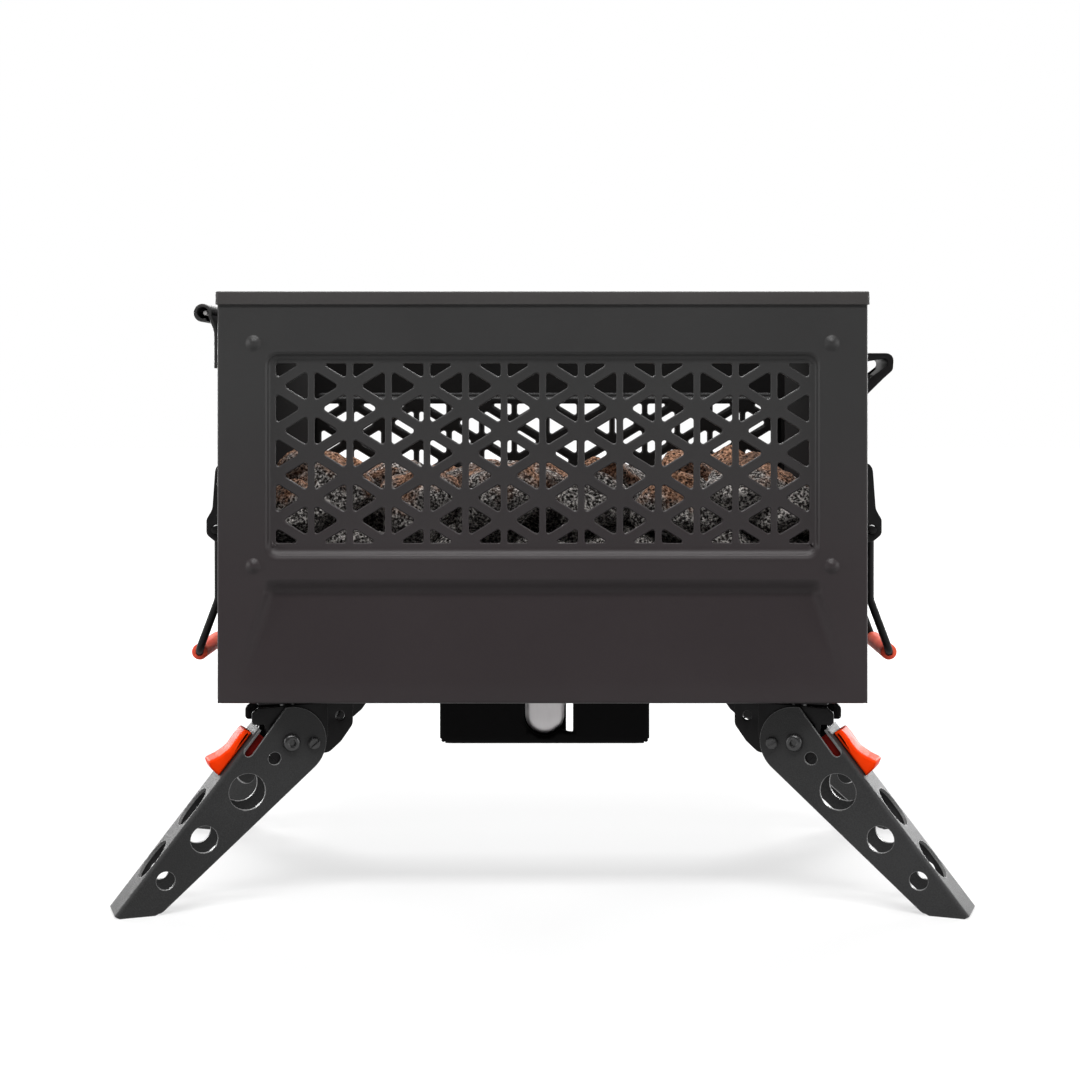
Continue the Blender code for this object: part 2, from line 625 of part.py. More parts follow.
def cheek_outlines(long):
    """A bracket's side plate about the pivot, with the pin's curved slot: (outline, holes)."""
    top = PIVOT_DROP - GAP
    lug = [(0.0146, 0.0104), (0.0205, 0.0104), (0.022, 0.0120), (0.022, 0.0165), (0.0195, 0.0195), (0.0185, top)]
    if long:
        inner = [(-0.041, top), (-0.041, 0.0125), (-0.0405, 0.0050), (-0.0380, -0.0010), (-0.034, -0.0055),
                 (-0.0267, -0.0117), (-0.0185, -0.0117)]
    else:
        inner = [(-0.0215, top), (-0.0215, 0.004), (-0.0195, -0.004)]
    disc = arc(0, 0, 0.0135, 215 if long else 205, 365, 7)
    pin_angle = math.degrees(math.atan2(PIN_PLACE[1], PIN_PLACE[0])) % 360
    pin_radius = math.hypot(*PIN_PLACE)
    half = PIN_SHANK + GAP
    first, last = pin_angle - FOLD_DEGREES - 3, pin_angle + 3
    slot = arc(0, 0, pin_radius + half, first, last, 8)
    end = math.radians(last)
    slot += arc(pin_radius * math.cos(end), pin_radius * math.sin(end), half, last + 45, last + 135, 3)
    slot += arc(0, 0, pin_radius - half, last, first, 7)
    end = math.radians(first)
    slot += arc(pin_radius * math.cos(end), pin_radius * math.sin(end), half, first + 225, first + 315, 3)
    holes = [ring(0, 0, PIVOT_SHANK + GAP, 8), slot]
    if long:
        holes.append(ring(-0.0333, 0.0096, 0.0028, 8))
    return inner + disc + lug, holes


def make_bracket(name, place, inner_side):
    """A folded bracket bolted under the can: a web and two cheeks, the one towards the can's middle longer."""
    top = PIVOT_DROP - GAP
    web = plate(name, [[(-0.0415, -BRACKET_HALF), (0.0185, -BRACKET_HALF), (0.0185, BRACKET_HALF),
                        (-0.0415, BRACKET_HALF)], ring(0, 0, 0.0028, 8)], LEG_SHEET)
    web.transform(Matrix.Translation((0, 0, top - LEG_SHEET / 2)))
    made = link(name, web, BLACK_STEEL, place)
    for label, side in (("inner", inner_side), ("outer", -inner_side)):
        outline, holes = cheek_outlines(label == "inner")
        mesh = plate(f"{name}_{label}", [outline] + holes, CHEEK)
        offset = Matrix.Translation((0, side * (BRACKET_HALF - CHEEK / 2), 0))
        combine(made, helper(f"{name}_{label}", mesh, place @ offset @ upright()), "UNION")


def button_mesh():
    """The thumb wedge, its stem through the web and the slider inside, with the spring's pocket in its end."""
    top = HEAD_RADIUS + GAP
    wedge = [(0.009, top), (0.0385, top), (0.0378, 0.0255), (0.0355, 0.0302), (0.0325, 0.0290), (0.0285, 0.0262),
             (0.0235, 0.0250), (0.0175, 0.0252), (0.0115, 0.0253), (0.0093, 0.0235)]
    block = helper("button_block", plate("button_block", [[leg_point(a, n) for a, n in wedge]], BUTTON_HALF * 2), upright())
    stem = box_mesh("button_stem", (0.0160, -0.0037, 0.0170), (0.0280, 0.0037, 0.0210))
    slider = box_mesh("button_slider", (SLIDER_NEAR, -SLIDER_HALF, SLIDER_LOW),
                      (SLIDER_FAR, SLIDER_HALF, HEAD_RADIUS - LEG_SHEET - GAP))
    pocket = cylinders_mesh("button_pocket", [((0.0307, 0, 0.01495), "X", 0.0019, 0.020)], 10)
    frame = leg_web_frame()
    combine(block, helper("button_stem", stem, frame), "UNION")
    combine(block, helper("button_slider", slider, frame), "UNION")
    combine(block, helper("button_pocket", pocket, frame), "DIFFERENCE")
    bpy.context.view_layer.update()
    mesh = bpy.data.meshes.new_from_object(block.evaluated_get(bpy.context.evaluated_depsgraph_get()))
    mesh.transform(block.matrix_world)
    return mesh


def headed_pin(name, place, at, head, shank, outer_side, parent):
    """A screw across the leg: a domed head on the outer plate, a plain shank and a closing head inside."""
    half = LEG_WIDTH / 2 + GAP
    profile = [(0, half + 0.0026), (head * 0.7, half + 0.0023), (head, half + 0.0010), (head, half), (shank, half),
               (shank, -half), (head * 0.75, -half), (head * 0.75, -half - 0.0016), (0, -half - 0.0016)]
    turn = Matrix.Rotation(-outer_side * math.pi / 2, 4, "X")
    where = place @ Matrix.Translation((at[0], 0, at[1])) @ turn
    turned(name, profile, BLACK_STEEL, where, 10, parent)


def make_legs():
    leg = make_leg_mesh()
    button = button_mesh()
    frame = leg_web_frame()
    coil = cylinders_mesh("coil", [((0.0366, 0, 0.01495), "X", 0.0016, 0.0190)], 8)
    coil.transform(frame)
    for corner, (x, y, turn, inner_side) in CORNERS.items():
        place = Matrix.Translation((x * PIVOT_X, y * PIVOT_Y, PIVOT_Z)) @ Matrix.Rotation(turn, 4, "Z")
        axis = bpy.data.objects.new(f"leg_{corner}_axis", None)
        axis.matrix_world = place
        parts.objects.link(axis)
        bpy.context.view_layer.update()
        link(f"leg_{corner}", leg.copy(), LEG_PAINT, place, axis)
        link(f"leg_button_{corner}", button.copy(), ORANGE, place, axis)
        link(f"leg_spring_{corner}", coil.copy(), BRIGHT_STEEL, place, axis)
        headed_pin(f"leg_pivot_{corner}", place, (0, 0), 0.005, PIVOT_SHANK, -inner_side, axis)
        headed_pin(f"leg_pin_{corner}", place, PIN_PLACE, 0.0034, PIN_SHANK, -inner_side, axis)
        make_bracket(f"leg_bracket_{corner}", place, inner_side)
        make_bracket_bolt(f"bracket_bolt_{corner}", x * PIVOT_X, y * PIVOT_Y)


def make_bracket_bolt(name, x, y):
    """A pan-head bolt from inside the can, closed by a flat nut under the bracket's web."""
    grip = SHEET + GAP + LEG_SHEET
    profile = [(0, 0.0027), (0.0045, 0.0012), (0.0045, GAP), (0.0025, GAP), (0.0025, -grip - GAP),
               (0.0044, -grip - GAP), (0.0044, -grip - 0.0026), (0, -grip - 0.0026)]
    turned(name, profile, BLACK_STEEL, Matrix.Translation((x, y, CAN_BOTTOM + SHEET)), 8)


# The burner

def make_tray():
    """A folded bridge that stands on the bottom plate and carries the rocks, with a hole for the riser."""
    half = HALF_WIDTH - 2 * SHEET - 0.003
    low, high = SHEET + GAP + SHEET / 2, TRAY_HEIGHT - SHEET / 2
    path = [(-half, CAN_BOTTOM + low), (-half, CAN_BOTTOM + high), (half, CAN_BOTTOM + high), (half, CAN_BOTTOM + low)]
    made = folded_strip("rock_tray", path, HALF_DEPTH - 0.006, SHEET, BLACK_STEEL)
    hole = cylinders_mesh("tray_hole", [((0, 0, CAN_BOTTOM + high), "Z", RISER_RADIUS + GAP, 0.01)], 16)
    combine(made, helper("tray_hole", hole), "DIFFERENCE")


def make_burner():
    """A capped burner bar on its riser, drilled with two rows of ports, with one bore through both."""
    bar = cylinders_mesh("burner_tube", [((0, 0, BURNER_HEIGHT), "X", BURNER_RADIUS, 0.25)])
    made = link("burner_tube", bar, BRIGHT_STEEL, Matrix.Translation((0, 0, CAN_BOTTOM)))
    low = -VENTURI_DROP + 0.0072
    riser = cylinders_mesh("riser", [((0, 0, (low + BURNER_HEIGHT) / 2), "Z", RISER_RADIUS, BURNER_HEIGHT - low)])
    bore = cylinders_mesh("riser_bore", [((0, 0, (low + BURNER_HEIGHT) / 2 - 0.01), "Z", 0.0075, BURNER_HEIGHT - low + 0.02)], 12)
    inner = cylinders_mesh("bar_bore", [((0, 0, BURNER_HEIGHT), "X", BURNER_RADIUS - SHEET, 0.247)])
    ports = [((x * 0.026, side * 0.008, BURNER_HEIGHT + 0.006), "Z", 0.0012, 0.010) for x in (-4, -3, -2, 2, 3, 4) for side in (-1, 1)]
    at_can = Matrix.Translation((0, 0, CAN_BOTTOM))
    combine(made, helper("riser", riser, at_can), "UNION")
    combine(made, helper("bar_bore", inner, at_can), "DIFFERENCE")
    combine(made, helper("riser_bore", bore, at_can), "DIFFERENCE")
    combine(made, helper("burner_ports", cylinders_mesh("burner_ports", ports, 5), at_can), "DIFFERENCE")
    nut = plate("burner_nut", [ring(0, 0, 0.014, 6), ring(0, 0, RISER_RADIUS + GAP, 16)], 0.005)
    link("burner_nut", nut, BRIGHT_STEEL, Matrix.Translation((0, 0, CAN_BOTTOM + SHEET + GAP + 0.0025)))


def make_venturi():
    """A short mixing tube below the can, closed at the front and turned up to the can, round the riser."""
    reach = SHIELD_HALF_DEPTH - 0.0022
    centre = (0, 0, CAN_BOTTOM - VENTURI_DROP)
    body = link("venturi_tube", cylinders_mesh("venturi_tube", [(centre, "Y", VENTURI_RADIUS, 2 * reach)], 24), BRIGHT_STEEL)
    neck_low, neck_high = CAN_BOTTOM - VENTURI_DROP, CAN_BOTTOM - 0.0006
    elbow = cylinders_mesh("venturi_elbow", [((0, 0, (neck_low + neck_high) / 2), "Z", VENTURI_RADIUS - 0.0006, neck_high - neck_low)], 24)
    bore = cylinders_mesh("venturi_bore", [((0, 0.0015, centre[2]), "Y", VENTURI_RADIUS - SHEET, 2 * reach + 0.0001)], 20)
    combine(body, helper("venturi_elbow", elbow), "UNION")
    neck = cylinders_mesh("venturi_neck", [((0, 0, CAN_BOTTOM - VENTURI_DROP + 0.012), "Z", RISER_RADIUS + GAP, 0.020)])
    combine(body, helper("venturi_bore", bore), "DIFFERENCE")
    combine(body, helper("venturi_neck", neck), "DIFFERENCE")
    profile = [(0, 0.0275), (0.0046, 0.0275), (0.0051, 0.0268), (0.0051, 0.0175), (0.0068, 0.0175),
               (0.0068, SHIELD_HALF_DEPTH + GAP), (0.004, SHIELD_HALF_DEPTH + GAP), (0.004, 0.0055), (0.0022, 0.0035), (0, 0.0035)]
    where = Matrix.Translation(centre) @ Matrix.Rotation(-math.pi / 2, 4, "X")
    turned("gas_inlet", profile, BRASS, where, 14)


def make_shield():
    """A folded box open at its ends, hung under the can by two flanges and notched round the venturi."""
    out, drop, skin = SHIELD_HALF_DEPTH, SHIELD_DROP, SHEET
    flange = out + 0.007
    section = [(-flange, -GAP), (-flange, -GAP - skin), (-out, -GAP - skin), (-out, -drop), (out, -drop),
               (out, -GAP - skin), (flange, -GAP - skin), (flange, -GAP), (out - skin, -GAP), (out - skin, skin - drop),
               (skin - out, skin - drop), (skin - out, -GAP)]
    turn = Matrix.Rotation(math.pi / 2, 4, "Z") @ Matrix.Rotation(math.pi / 2, 4, "X")
    made = link("burner_shield", plate("burner_shield", [section], SHIELD_HALF_WIDTH * 2), BLACK_STEEL,
                Matrix.Translation((0, 0, CAN_BOTTOM)) @ turn)
    radius = VENTURI_RADIUS + 0.0005
    notch = arc(0, -VENTURI_DROP, radius, 180, 300, 9) + [(0.0150, -0.0318), (0.0172, -0.0296), (0.0172, -0.0025), (-radius, -0.0025)]
    front = plate("shield_notch", [notch], 0.006)
    combine(made, helper("shield_notch", front, upright(0, -out, CAN_BOTTOM)), "DIFFERENCE")
    window = plate("shield_window", [rounded(0.0130, -0.0318, 0.0180, -0.0030, 0.001, 2)], 0.006)
    combine(made, helper("shield_window", window, upright(0, out, CAN_BOTTOM)), "DIFFERENCE")
    hole = cylinders_mesh("shield_hole", [((0, out, CAN_BOTTOM - VENTURI_DROP), "Y", 0.0043, 0.006)], 12)
    combine(made, helper("shield_hole", hole), "DIFFERENCE")


def make_rocks():
    """The bed of lava rock on the tray: a cloth of points laid over a block. Its top follows the highest rock, its
    sides are drawn in between the rocks, and the burner bar lies in a trench underneath."""
    bm = bmesh.new()
    across, along, down = BED_CELLS
    bmesh.ops.create_grid(bm, x_segments=across + 2 * down, y_segments=along + 2 * down, size=1)
    found = rocks()
    for vert in bm.verts:
        i = round((vert.co.x + 1) / 2 * (across + 2 * down)) - down
        j = round((vert.co.y + 1) / 2 * (along + 2 * down)) - down
        over = max(-i, i - across, -j, j - along, 0) / down
        x = (2 * min(max(i / across, 0), 1) - 1) * BED_HALF[0]
        y = (2 * min(max(j / along, 0), 1) - 1) * BED_HALF[1]
        on_side = [not 0 < i < across, not 0 < j < along]
        top = bed_top(found, x, y, on_side)
        z = top + (TRAY_HEIGHT + GAP - top) * over
        draw = [bed_draw(found, (x, y, z), axis) if on_side[axis] else 0 for axis in (0, 1)]
        vert.co = (x - math.copysign(draw[0], x), y - math.copysign(draw[1], y), z)
    bmesh.ops.remove_doubles(bm, verts=bm.verts, dist=1e-6)
    bmesh.ops.dissolve_degenerate(bm, edges=bm.edges, dist=1e-6)
    bmesh.ops.holes_fill(bm, edges=bm.edges, sides=0)
    bmesh.ops.triangulate(bm, faces=bm.faces)
    link("lava_rock_bed", finish(bm, "lava_rock_bed"), LAVA, Matrix.Translation((0, 0, CAN_BOTTOM)))
    wide = BURNER_RADIUS + 0.0008
    trench = box_mesh("burner_trench", (-0.126, -wide, TRAY_HEIGHT - 0.01), (0.126, wide, BURNER_HEIGHT + wide))
    combine(bpy.data.objects["lava_rock_bed"], helper("burner_trench", trench, Matrix.Translation((0, 0, CAN_BOTTOM))), "DIFFERENCE")


def rocks():
    """The centre and half sizes of each rock: two layers of staggered rows, with each rock a little off its place."""
    found = []
    for layer, (level, tall) in enumerate(ROCK_LAYERS):
        for j in range(4):
            odd = (j + layer) % 2
            for i in range(7 + odd):
                wave = 1.7 * i + 2.9 * j + 4.1 * layer
                size = 1 + 0.12 * math.sin(wave)
                half = (ROCK_HALF[0] * size, ROCK_HALF[1] * size, tall * size)
                x = (i - 3 - 0.5 * odd) * ROCK_PITCH[0] + 0.005 * math.sin(3.1 * wave)
                y = (j - 1.5) * ROCK_PITCH[1] + 0.004 * math.sin(2.3 * wave + 1)
                z = level + 0.006 * layer * math.sin(5.3 * wave + 2)
                room = [BED_HALF[0] - half[0], BED_HALF[1] - half[1]]
                found.append(((min(max(x, -room[0]), room[0]), min(max(y, -room[1]), room[1]), z), half))
    return found


def bed_top(found, x, y, on_side):
    """The height of the highest rock at (x, y). On a side, it is a place on that rock's shoulder."""
    best = BED_VALLEY
    for centre, half in found:
        away = [(x - centre[0]) / half[0], (y - centre[1]) / half[1]]
        near = [a if not side else 0.7 for a, side in zip(away, on_side)]
        facing = all(abs(a) < 1.8 for a in away)
        room = 1 - near[0] ** 2 - near[1] ** 2
        if facing and room > 0:
            best = max(best, centre[2] + half[2] * math.sqrt(room))
    return best


def bed_draw(found, place, axis):
    """How far a point of the bed's side lies behind its outermost rocks, at most BED_DRAW."""
    other = 1 - axis
    best = BED_DRAW
    for centre, half in found:
        room = 1 - ((place[other] - centre[other]) / half[other]) ** 2 - ((place[2] - centre[2]) / half[2]) ** 2
        if room > 0:
            outward = math.copysign(centre[axis], centre[axis] * place[axis])
            best = min(best, BED_HALF[axis] - outward - half[axis] * math.sqrt(room))
    return max(best, 0)


def main():
    make_panels()
    make_side_wall("left_wall", -1)
    make_side_wall("right_wall", 1)
    make_bottom_plate()
    make_top_rim()
    make_panel_rivets()
    make_hinge()
    make_catch()
    for name, side in (("left", -1), ("right", 1)):
        make_handle_bracket(f"handle_bracket_{name}", side)
        make_handle(name, side)
    make_legs()
    make_tray()
    make_burner()
    make_venturi()
    make_shield()
    make_rocks()


main()
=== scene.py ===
import math

import bmesh
import bpy
import numpy as np
from mathutils import Matrix, Vector
from mathutils.geometry import delaunay_2d_cdt


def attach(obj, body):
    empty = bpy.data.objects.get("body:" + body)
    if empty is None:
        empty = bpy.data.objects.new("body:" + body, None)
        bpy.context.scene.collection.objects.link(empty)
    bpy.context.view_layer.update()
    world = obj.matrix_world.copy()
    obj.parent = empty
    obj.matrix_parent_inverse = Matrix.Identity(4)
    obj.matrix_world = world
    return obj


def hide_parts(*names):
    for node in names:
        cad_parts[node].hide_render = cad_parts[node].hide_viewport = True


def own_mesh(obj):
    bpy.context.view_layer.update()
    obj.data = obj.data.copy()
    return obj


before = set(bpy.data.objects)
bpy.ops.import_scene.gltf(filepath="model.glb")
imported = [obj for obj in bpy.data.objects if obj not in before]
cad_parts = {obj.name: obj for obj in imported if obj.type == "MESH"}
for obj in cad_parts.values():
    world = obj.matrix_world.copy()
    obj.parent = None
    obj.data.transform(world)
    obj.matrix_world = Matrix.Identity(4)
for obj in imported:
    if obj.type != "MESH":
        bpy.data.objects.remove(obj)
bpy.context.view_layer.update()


# Camera.
# A long lens stands just over a metre in front of the can, level with the upper part of the window, and the
# frame is shifted down and to the left so that the feet and both handles are in it.
camera = bpy.data.objects.new("camera", bpy.data.cameras.new("camera"))
camera.location = (0.0154, -1.140, 0.2908)
camera.rotation_euler = (math.radians(90), 0, 0)
camera.data.lens = 61.9
camera.data.sensor_width = 36
camera.data.shift_x = -0.0278
camera.data.shift_y = -0.139
bpy.context.scene.collection.objects.link(camera)
bpy.context.scene.camera = camera


# Front and rear panels.
# Each is one sheet of 1.5 mm steel, powder-coated near-black. The press sinks a window into it, punches the
# rounded triangles in the window's floor and, on the front one, creases a wedge below.

class Socket:
    """A shader socket that takes Python's arithmetic: each operator on it adds one Math node."""

    def __init__(self, finish, socket):
        self.finish = finish
        self.socket = socket

    def maths(self, operation, first, second):
        return self.finish.node("ShaderNodeMath", {"operation": operation}, {0: first, 1: second})

    def __add__(self, other):
        return self.maths("ADD", self, other)

    def __sub__(self, other):
        return self.maths("SUBTRACT", self, other)

    def __rsub__(self, other):
        return self.maths("SUBTRACT", other, self)

    def __mul__(self, other):
        return self.maths("MULTIPLY", self, other)

    def __abs__(self):
        return self.maths("ABSOLUTE", self, 0.0)

    __radd__ = __add__
    __rmul__ = __mul__

    def step(self, low, high):
        """0 below low and 1 above high, with a smooth run between."""
        return self.finish.node("ShaderNodeMapRange", {"interpolation_type": "SMOOTHSTEP"},
                                {"Value": self, "From Min": low, "From Max": high})


class Finish:
    """A material with one Principled shader, whose nodes are added as they are used."""

    def __init__(self, name, roughness, metallic=0.0, specular=0.5):
        self.material = bpy.data.materials.new(name)
        self.material.use_nodes = True
        self.tree = self.material.node_tree
        self.shader = self.tree.nodes["Principled BSDF"]
        for key, value in (("Roughness", roughness), ("Metallic", metallic), ("Specular IOR Level", specular)):
            self.shader.inputs[key].default_value = value
        self.place = Socket(self, self.tree.nodes.new("ShaderNodeTexCoord").outputs["Object"])

    def node(self, kind, settings=None, values=None, output=0):
        """Any node: its settings first, then a value or link for each socket. It gives one of its outputs."""
        made = self.tree.nodes.new(kind)
        for key, value in (settings or {}).items():
            setattr(made, key, value)
        for key, value in (values or {}).items():
            if isinstance(value, Socket):
                self.tree.links.new(value.socket, made.inputs[key])
            else:
                made.inputs[key].default_value = value
        return Socket(self, made.outputs[output])

    def noise(self, scale, detail=2.0, roughness=0.5):
        return self.node("ShaderNodeTexNoise", {}, {"Vector": self.place, "Scale": scale, "Detail": detail,
                                                    "Roughness": roughness})

    def along(self, axis):
        """The place along one axis: 0 for X, 1 for Y and 2 for Z."""
        return self.node("ShaderNodeSeparateXYZ", {}, {"Vector": self.place}, axis)

    def own_value(self, name):
        """The value that give_values gave the piece's points by this name, or 0 on a piece without it."""
        return self.node("ShaderNodeAttribute", {"attribute_name": name}, {}, "Fac")

    def colours(self, factor, first, second):
        return self.node("ShaderNodeMix", {"data_type": "RGBA"},
                         {0: factor, 6: (*first, 1) if isinstance(first, tuple) else first,
                          7: (*second, 1) if isinstance(second, tuple) else second}, 2)

    def bump(self, height, strength, distance=0.001):
        return self.node("ShaderNodeBump", {}, {"Height": height, "Strength": strength, "Distance": distance})

    def paint(self, **links):
        """Sets or links the shader's sockets, named with underscores for spaces."""
        for key, value in links.items():
            socket = self.shader.inputs[key.replace("_", " ")]
            if isinstance(value, Socket):
                self.tree.links.new(value.socket, socket)
            else:
                socket.default_value = (*value, 1) if isinstance(value, tuple) else value
        return self.material


def coat_with_painted_light(name, wall=0.0):
    """The can's powder coat, with fine orange peel: neutral near the mouth, a little browner and darker below,
    where the darkening is painted shade, paler on the rim as a painted highlight, and near-black inside. A
    panel or the rim is inside where it is nearer the middle in Y than its own value inner, and a side wall in
    the millimetre behind the place in X that is given as wall."""
    finish = Finish(name, 0.4, specular=0.22)
    # Near-black on the inside faces.
    if wall:
        depth = wall - abs(finish.along(0))
        inside_black = depth.step(0.0, 0.00007) * (1.0 - depth.step(0.0010, 0.0012))
    else:
        inside_black = (finish.own_value("inner") - abs(finish.along(1))).step(0.0, 0.00007)
    height = finish.along(2)
    cloud = finish.noise(9.0, 3.0)
    speck = finish.noise(2200.0, 2.0, 0.6)
    tone = (cloud * 0.6 + speck * 0.4).step(0.35, 0.68)
    # Browner and darker below: the tint is the coat's own, and the darkening is painted shade.
    low = finish.colours(tone, (0.0270, 0.0210, 0.0226), (0.0325, 0.0258, 0.0275))
    high = finish.colours(tone, (0.0290, 0.0286, 0.0286), (0.0350, 0.0345, 0.0345))
    browner_shaded_below = finish.colours((height + cloud * 0.02).step(0.17, 0.31), low, high)
    # Painted highlight: the coat is painted paler on the rim.
    pale = finish.colours(tone, (0.0440, 0.0410, 0.0400), (0.0550, 0.0520, 0.0510))
    outside_colour = finish.colours(height.step(0.3375, 0.3392), browner_shaded_below, pale)
    return finish.paint(Base_Color=finish.colours(inside_black, outside_colour, (0.0035, 0.0032, 0.0032)),
                        Roughness=0.35 + 0.12 * speck, Normal=finish.bump(speck, 0.22, 0.0002))


can_paint = coat_with_painted_light("can_paint")


def piece(name, points, faces, material, body, slot, mend=True, sharp=35):
    """A finished piece at the origin from arrays of points and faces, shaded smooth up to the sharp angle."""
    mesh = bpy.data.meshes.new(name)
    mesh.from_pydata(np.asarray(points, float).reshape(-1, 3).tolist(), [], [list(face) for face in faces])
    if mend:
        bm = bmesh.new()
        bm.from_mesh(mesh)
        bmesh.ops.remove_doubles(bm, verts=bm.verts, dist=2e-6)
        bmesh.ops.recalc_face_normals(bm, faces=bm.faces)
        bm.to_mesh(mesh)
        bm.free()
    mesh.shade_smooth()
    if sharp:
        mesh.set_sharp_from_angle(angle=math.radians(sharp))
    mesh.materials.append(material)
    made = bpy.data.objects.new(name, mesh)
    bpy.context.scene.collection.objects.link(made)
    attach(made, body)
    return made


def face(made, way, chosen=lambda polygon: True):
    """Turns a sheet over if its chosen faces, weighed by their areas, don't point the given way."""
    way = Vector(way)
    if sum(polygon.normal.dot(way) * polygon.area for polygon in made.data.polygons if chosen(polygon)) < 0:
        made.data.flip_normals()


def read(items, key):
    """Three numbers of each item of a mesh, as rows."""
    values = np.empty(len(items) * 3, np.float32)
    items.foreach_get(key, values)
    return values.reshape(-1, 3)


def give_values(made, name, values):
    """Gives each point of a piece its own value, which a material reads by name."""
    made.data.attributes.new(name, "FLOAT", "POINT").data.foreach_set("value", np.asarray(values, np.float32))


def thicken(made, thickness):
    """Gives a sheet its thickness, behind its outer face."""
    sheet = made.modifiers.new("sheet", "SOLIDIFY")
    sheet.thickness = thickness
    sheet.offset = -1


def weave(rows, columns, close_rows=False, close_columns=False):
    """The quads of a grid numbered row by row. A closed direction joins its last line to its first."""
    row, column = np.meshgrid(np.arange(rows - (not close_rows)), np.arange(columns - (not close_columns)),
                              indexing="ij")
    after_row, after_column = (row + 1) % rows, (column + 1) % columns
    return np.stack([row * columns + column, row * columns + after_column, after_row * columns + after_column,
                     after_row * columns + column], -1).reshape(-1, 4)


def corner_arcs(corners, radius):
    """For each corner of a polygon: where its rounding arc is centred, its two axes, its half angle and its
    radius. The arc at f, from -1 to 1, is centre + radius (cos(f h) axis + sin(f h) across)."""
    corners = np.asarray(corners, float)
    radius = np.broadcast_to(radius, len(corners)).astype(float)
    back = np.roll(corners, 1, 0) - corners
    ahead = np.roll(corners, -1, 0) - corners
    back /= np.linalg.norm(back, axis=1, keepdims=True)
    ahead /= np.linalg.norm(ahead, axis=1, keepdims=True)
    angle = np.arccos(np.clip((back * ahead).sum(1), -1, 1))
    bisector = (back + ahead) / np.linalg.norm(back + ahead, axis=1, keepdims=True)
    centre = corners + bisector * (radius / np.sin(angle / 2))[:, None]
    across = ahead - bisector * (ahead * bisector).sum(1)[:, None]
    across /= np.linalg.norm(across, axis=1, keepdims=True)
    return centre, -bisector, across, (math.pi - angle) / 2, radius


def arc_point(arcs, k, f):
    """The points at f, from -1 to 1, along corner k's arc."""
    centre, axis, across, half, radius = (item[k % len(arcs[0])] for item in arcs)
    f = np.asarray(f, float)[:, None] * half
    return centre + radius * (np.cos(f) * axis + np.sin(f) * across)


def side_points(arcs, k, count, share, start=0.0, end=0.0):
    """Points of a rounded polygon from the middle of corner k's arc to just before the next one's: an arc, a
    straight run and an arc, with the given share of the points on each arc."""
    u = np.arange(count) / count
    first = arc_point(arcs, k, start + (1 - start) * np.clip(u / share, 0, 1))
    last = arc_point(arcs, k + 1, -1 + (1 - end) * np.clip((u - 1 + share) / share, 0, 1))
    run = np.clip((u - share) / (1 - 2 * share), 0, 1)[:, None]
    tangents = arc_point(arcs, k, [1.0]), arc_point(arcs, k + 1, [-1.0])
    straight = tangents[0] * (1 - run) + tangents[1] * run
    return np.where((u < share)[:, None], first, np.where((u > 1 - share)[:, None], last, straight))


can_half_x, can_half_y, can_tall, can_floor = 0.1823, 0.100, 0.2289, 0.115
window_half, window_tall, window_round, sink = 0.156, 0.1185, 0.007, 0.0033
sheet_thick, hem, hem_round = 0.0014, 0.0015, 0.0012
bar_pitch, row_pitch, bar_half, margin = 0.02169, 0.0252, 0.00195, 0.0016
hole_wide, hole_tall, hole_round = 0.0136, 0.0167, 0.00145
hole_points, arc_share = 12, 0.25


def window_cell(half):
    """One hole and its share of the sheet, as rings from the cell's border in to the hole's edge. A whole cell
    is a triangle on a bar's centre line, and a half one its lower part with a margin above its flat side."""
    h, n = row_pitch / 2, hole_points
    base, tip, k = bar_half, bar_half + hole_wide, hole_tall / 2
    if half:
        border = [(0, margin), (bar_pitch, margin), (bar_pitch, 0), (0, -h)]
        counts = [n, 1, n, n]
        arcs = corner_arcs([(base, 0), (tip, 0), (base, -k)], [hole_round, hole_round * 0.6, hole_round])
        turned = arc_point(arcs, 1, [0.0]) * 0.5 + arc_point(arcs, 1, [-0.5]) * 0.5
        rounds = [side_points(arcs, 0, n, arc_share, 0, 0.5), turned,
                  side_points(arcs, 1, n, arc_share, 0.5, 0), side_points(arcs, 2, n, arc_share)]
    else:
        border = [(0, h), (bar_pitch, 0), (0, -h)]
        counts = [n, n, n]
        arcs = corner_arcs([(base, k), (tip, 0), (base, -k)], hole_round)
        rounds = [side_points(arcs, i, n, arc_share) for i in range(3)]
    border = np.array(border)
    outer = np.concatenate([border[i] + (np.roll(border, -1, 0)[i] - border[i]) * (np.arange(c) / c)[:, None]
                            for i, c in enumerate(counts)])
    inner = np.concatenate(rounds)
    way = outer - inner
    length = np.linalg.norm(way, axis=1)[None, :, None]
    out = np.array([0.00105, 0.0007, 0.0004, 0.00018, 0.00004, 0.0])[:, None, None]
    rings = inner + way * np.minimum(out / length, 0.9)
    rings = np.concatenate([outer[None], (outer[None] + rings[:1]) / 2, rings])
    lip = 0.001
    dip = np.concatenate([[0, 0], lip - np.sqrt(lip ** 2 - np.clip(lip - out[:, 0, 0], 0, lip) ** 2)])
    dip = np.broadcast_to(dip[:, None, None], rings.shape[:2] + (1,))
    return np.concatenate([rings[..., :1], dip, rings[..., 1:]], -1)


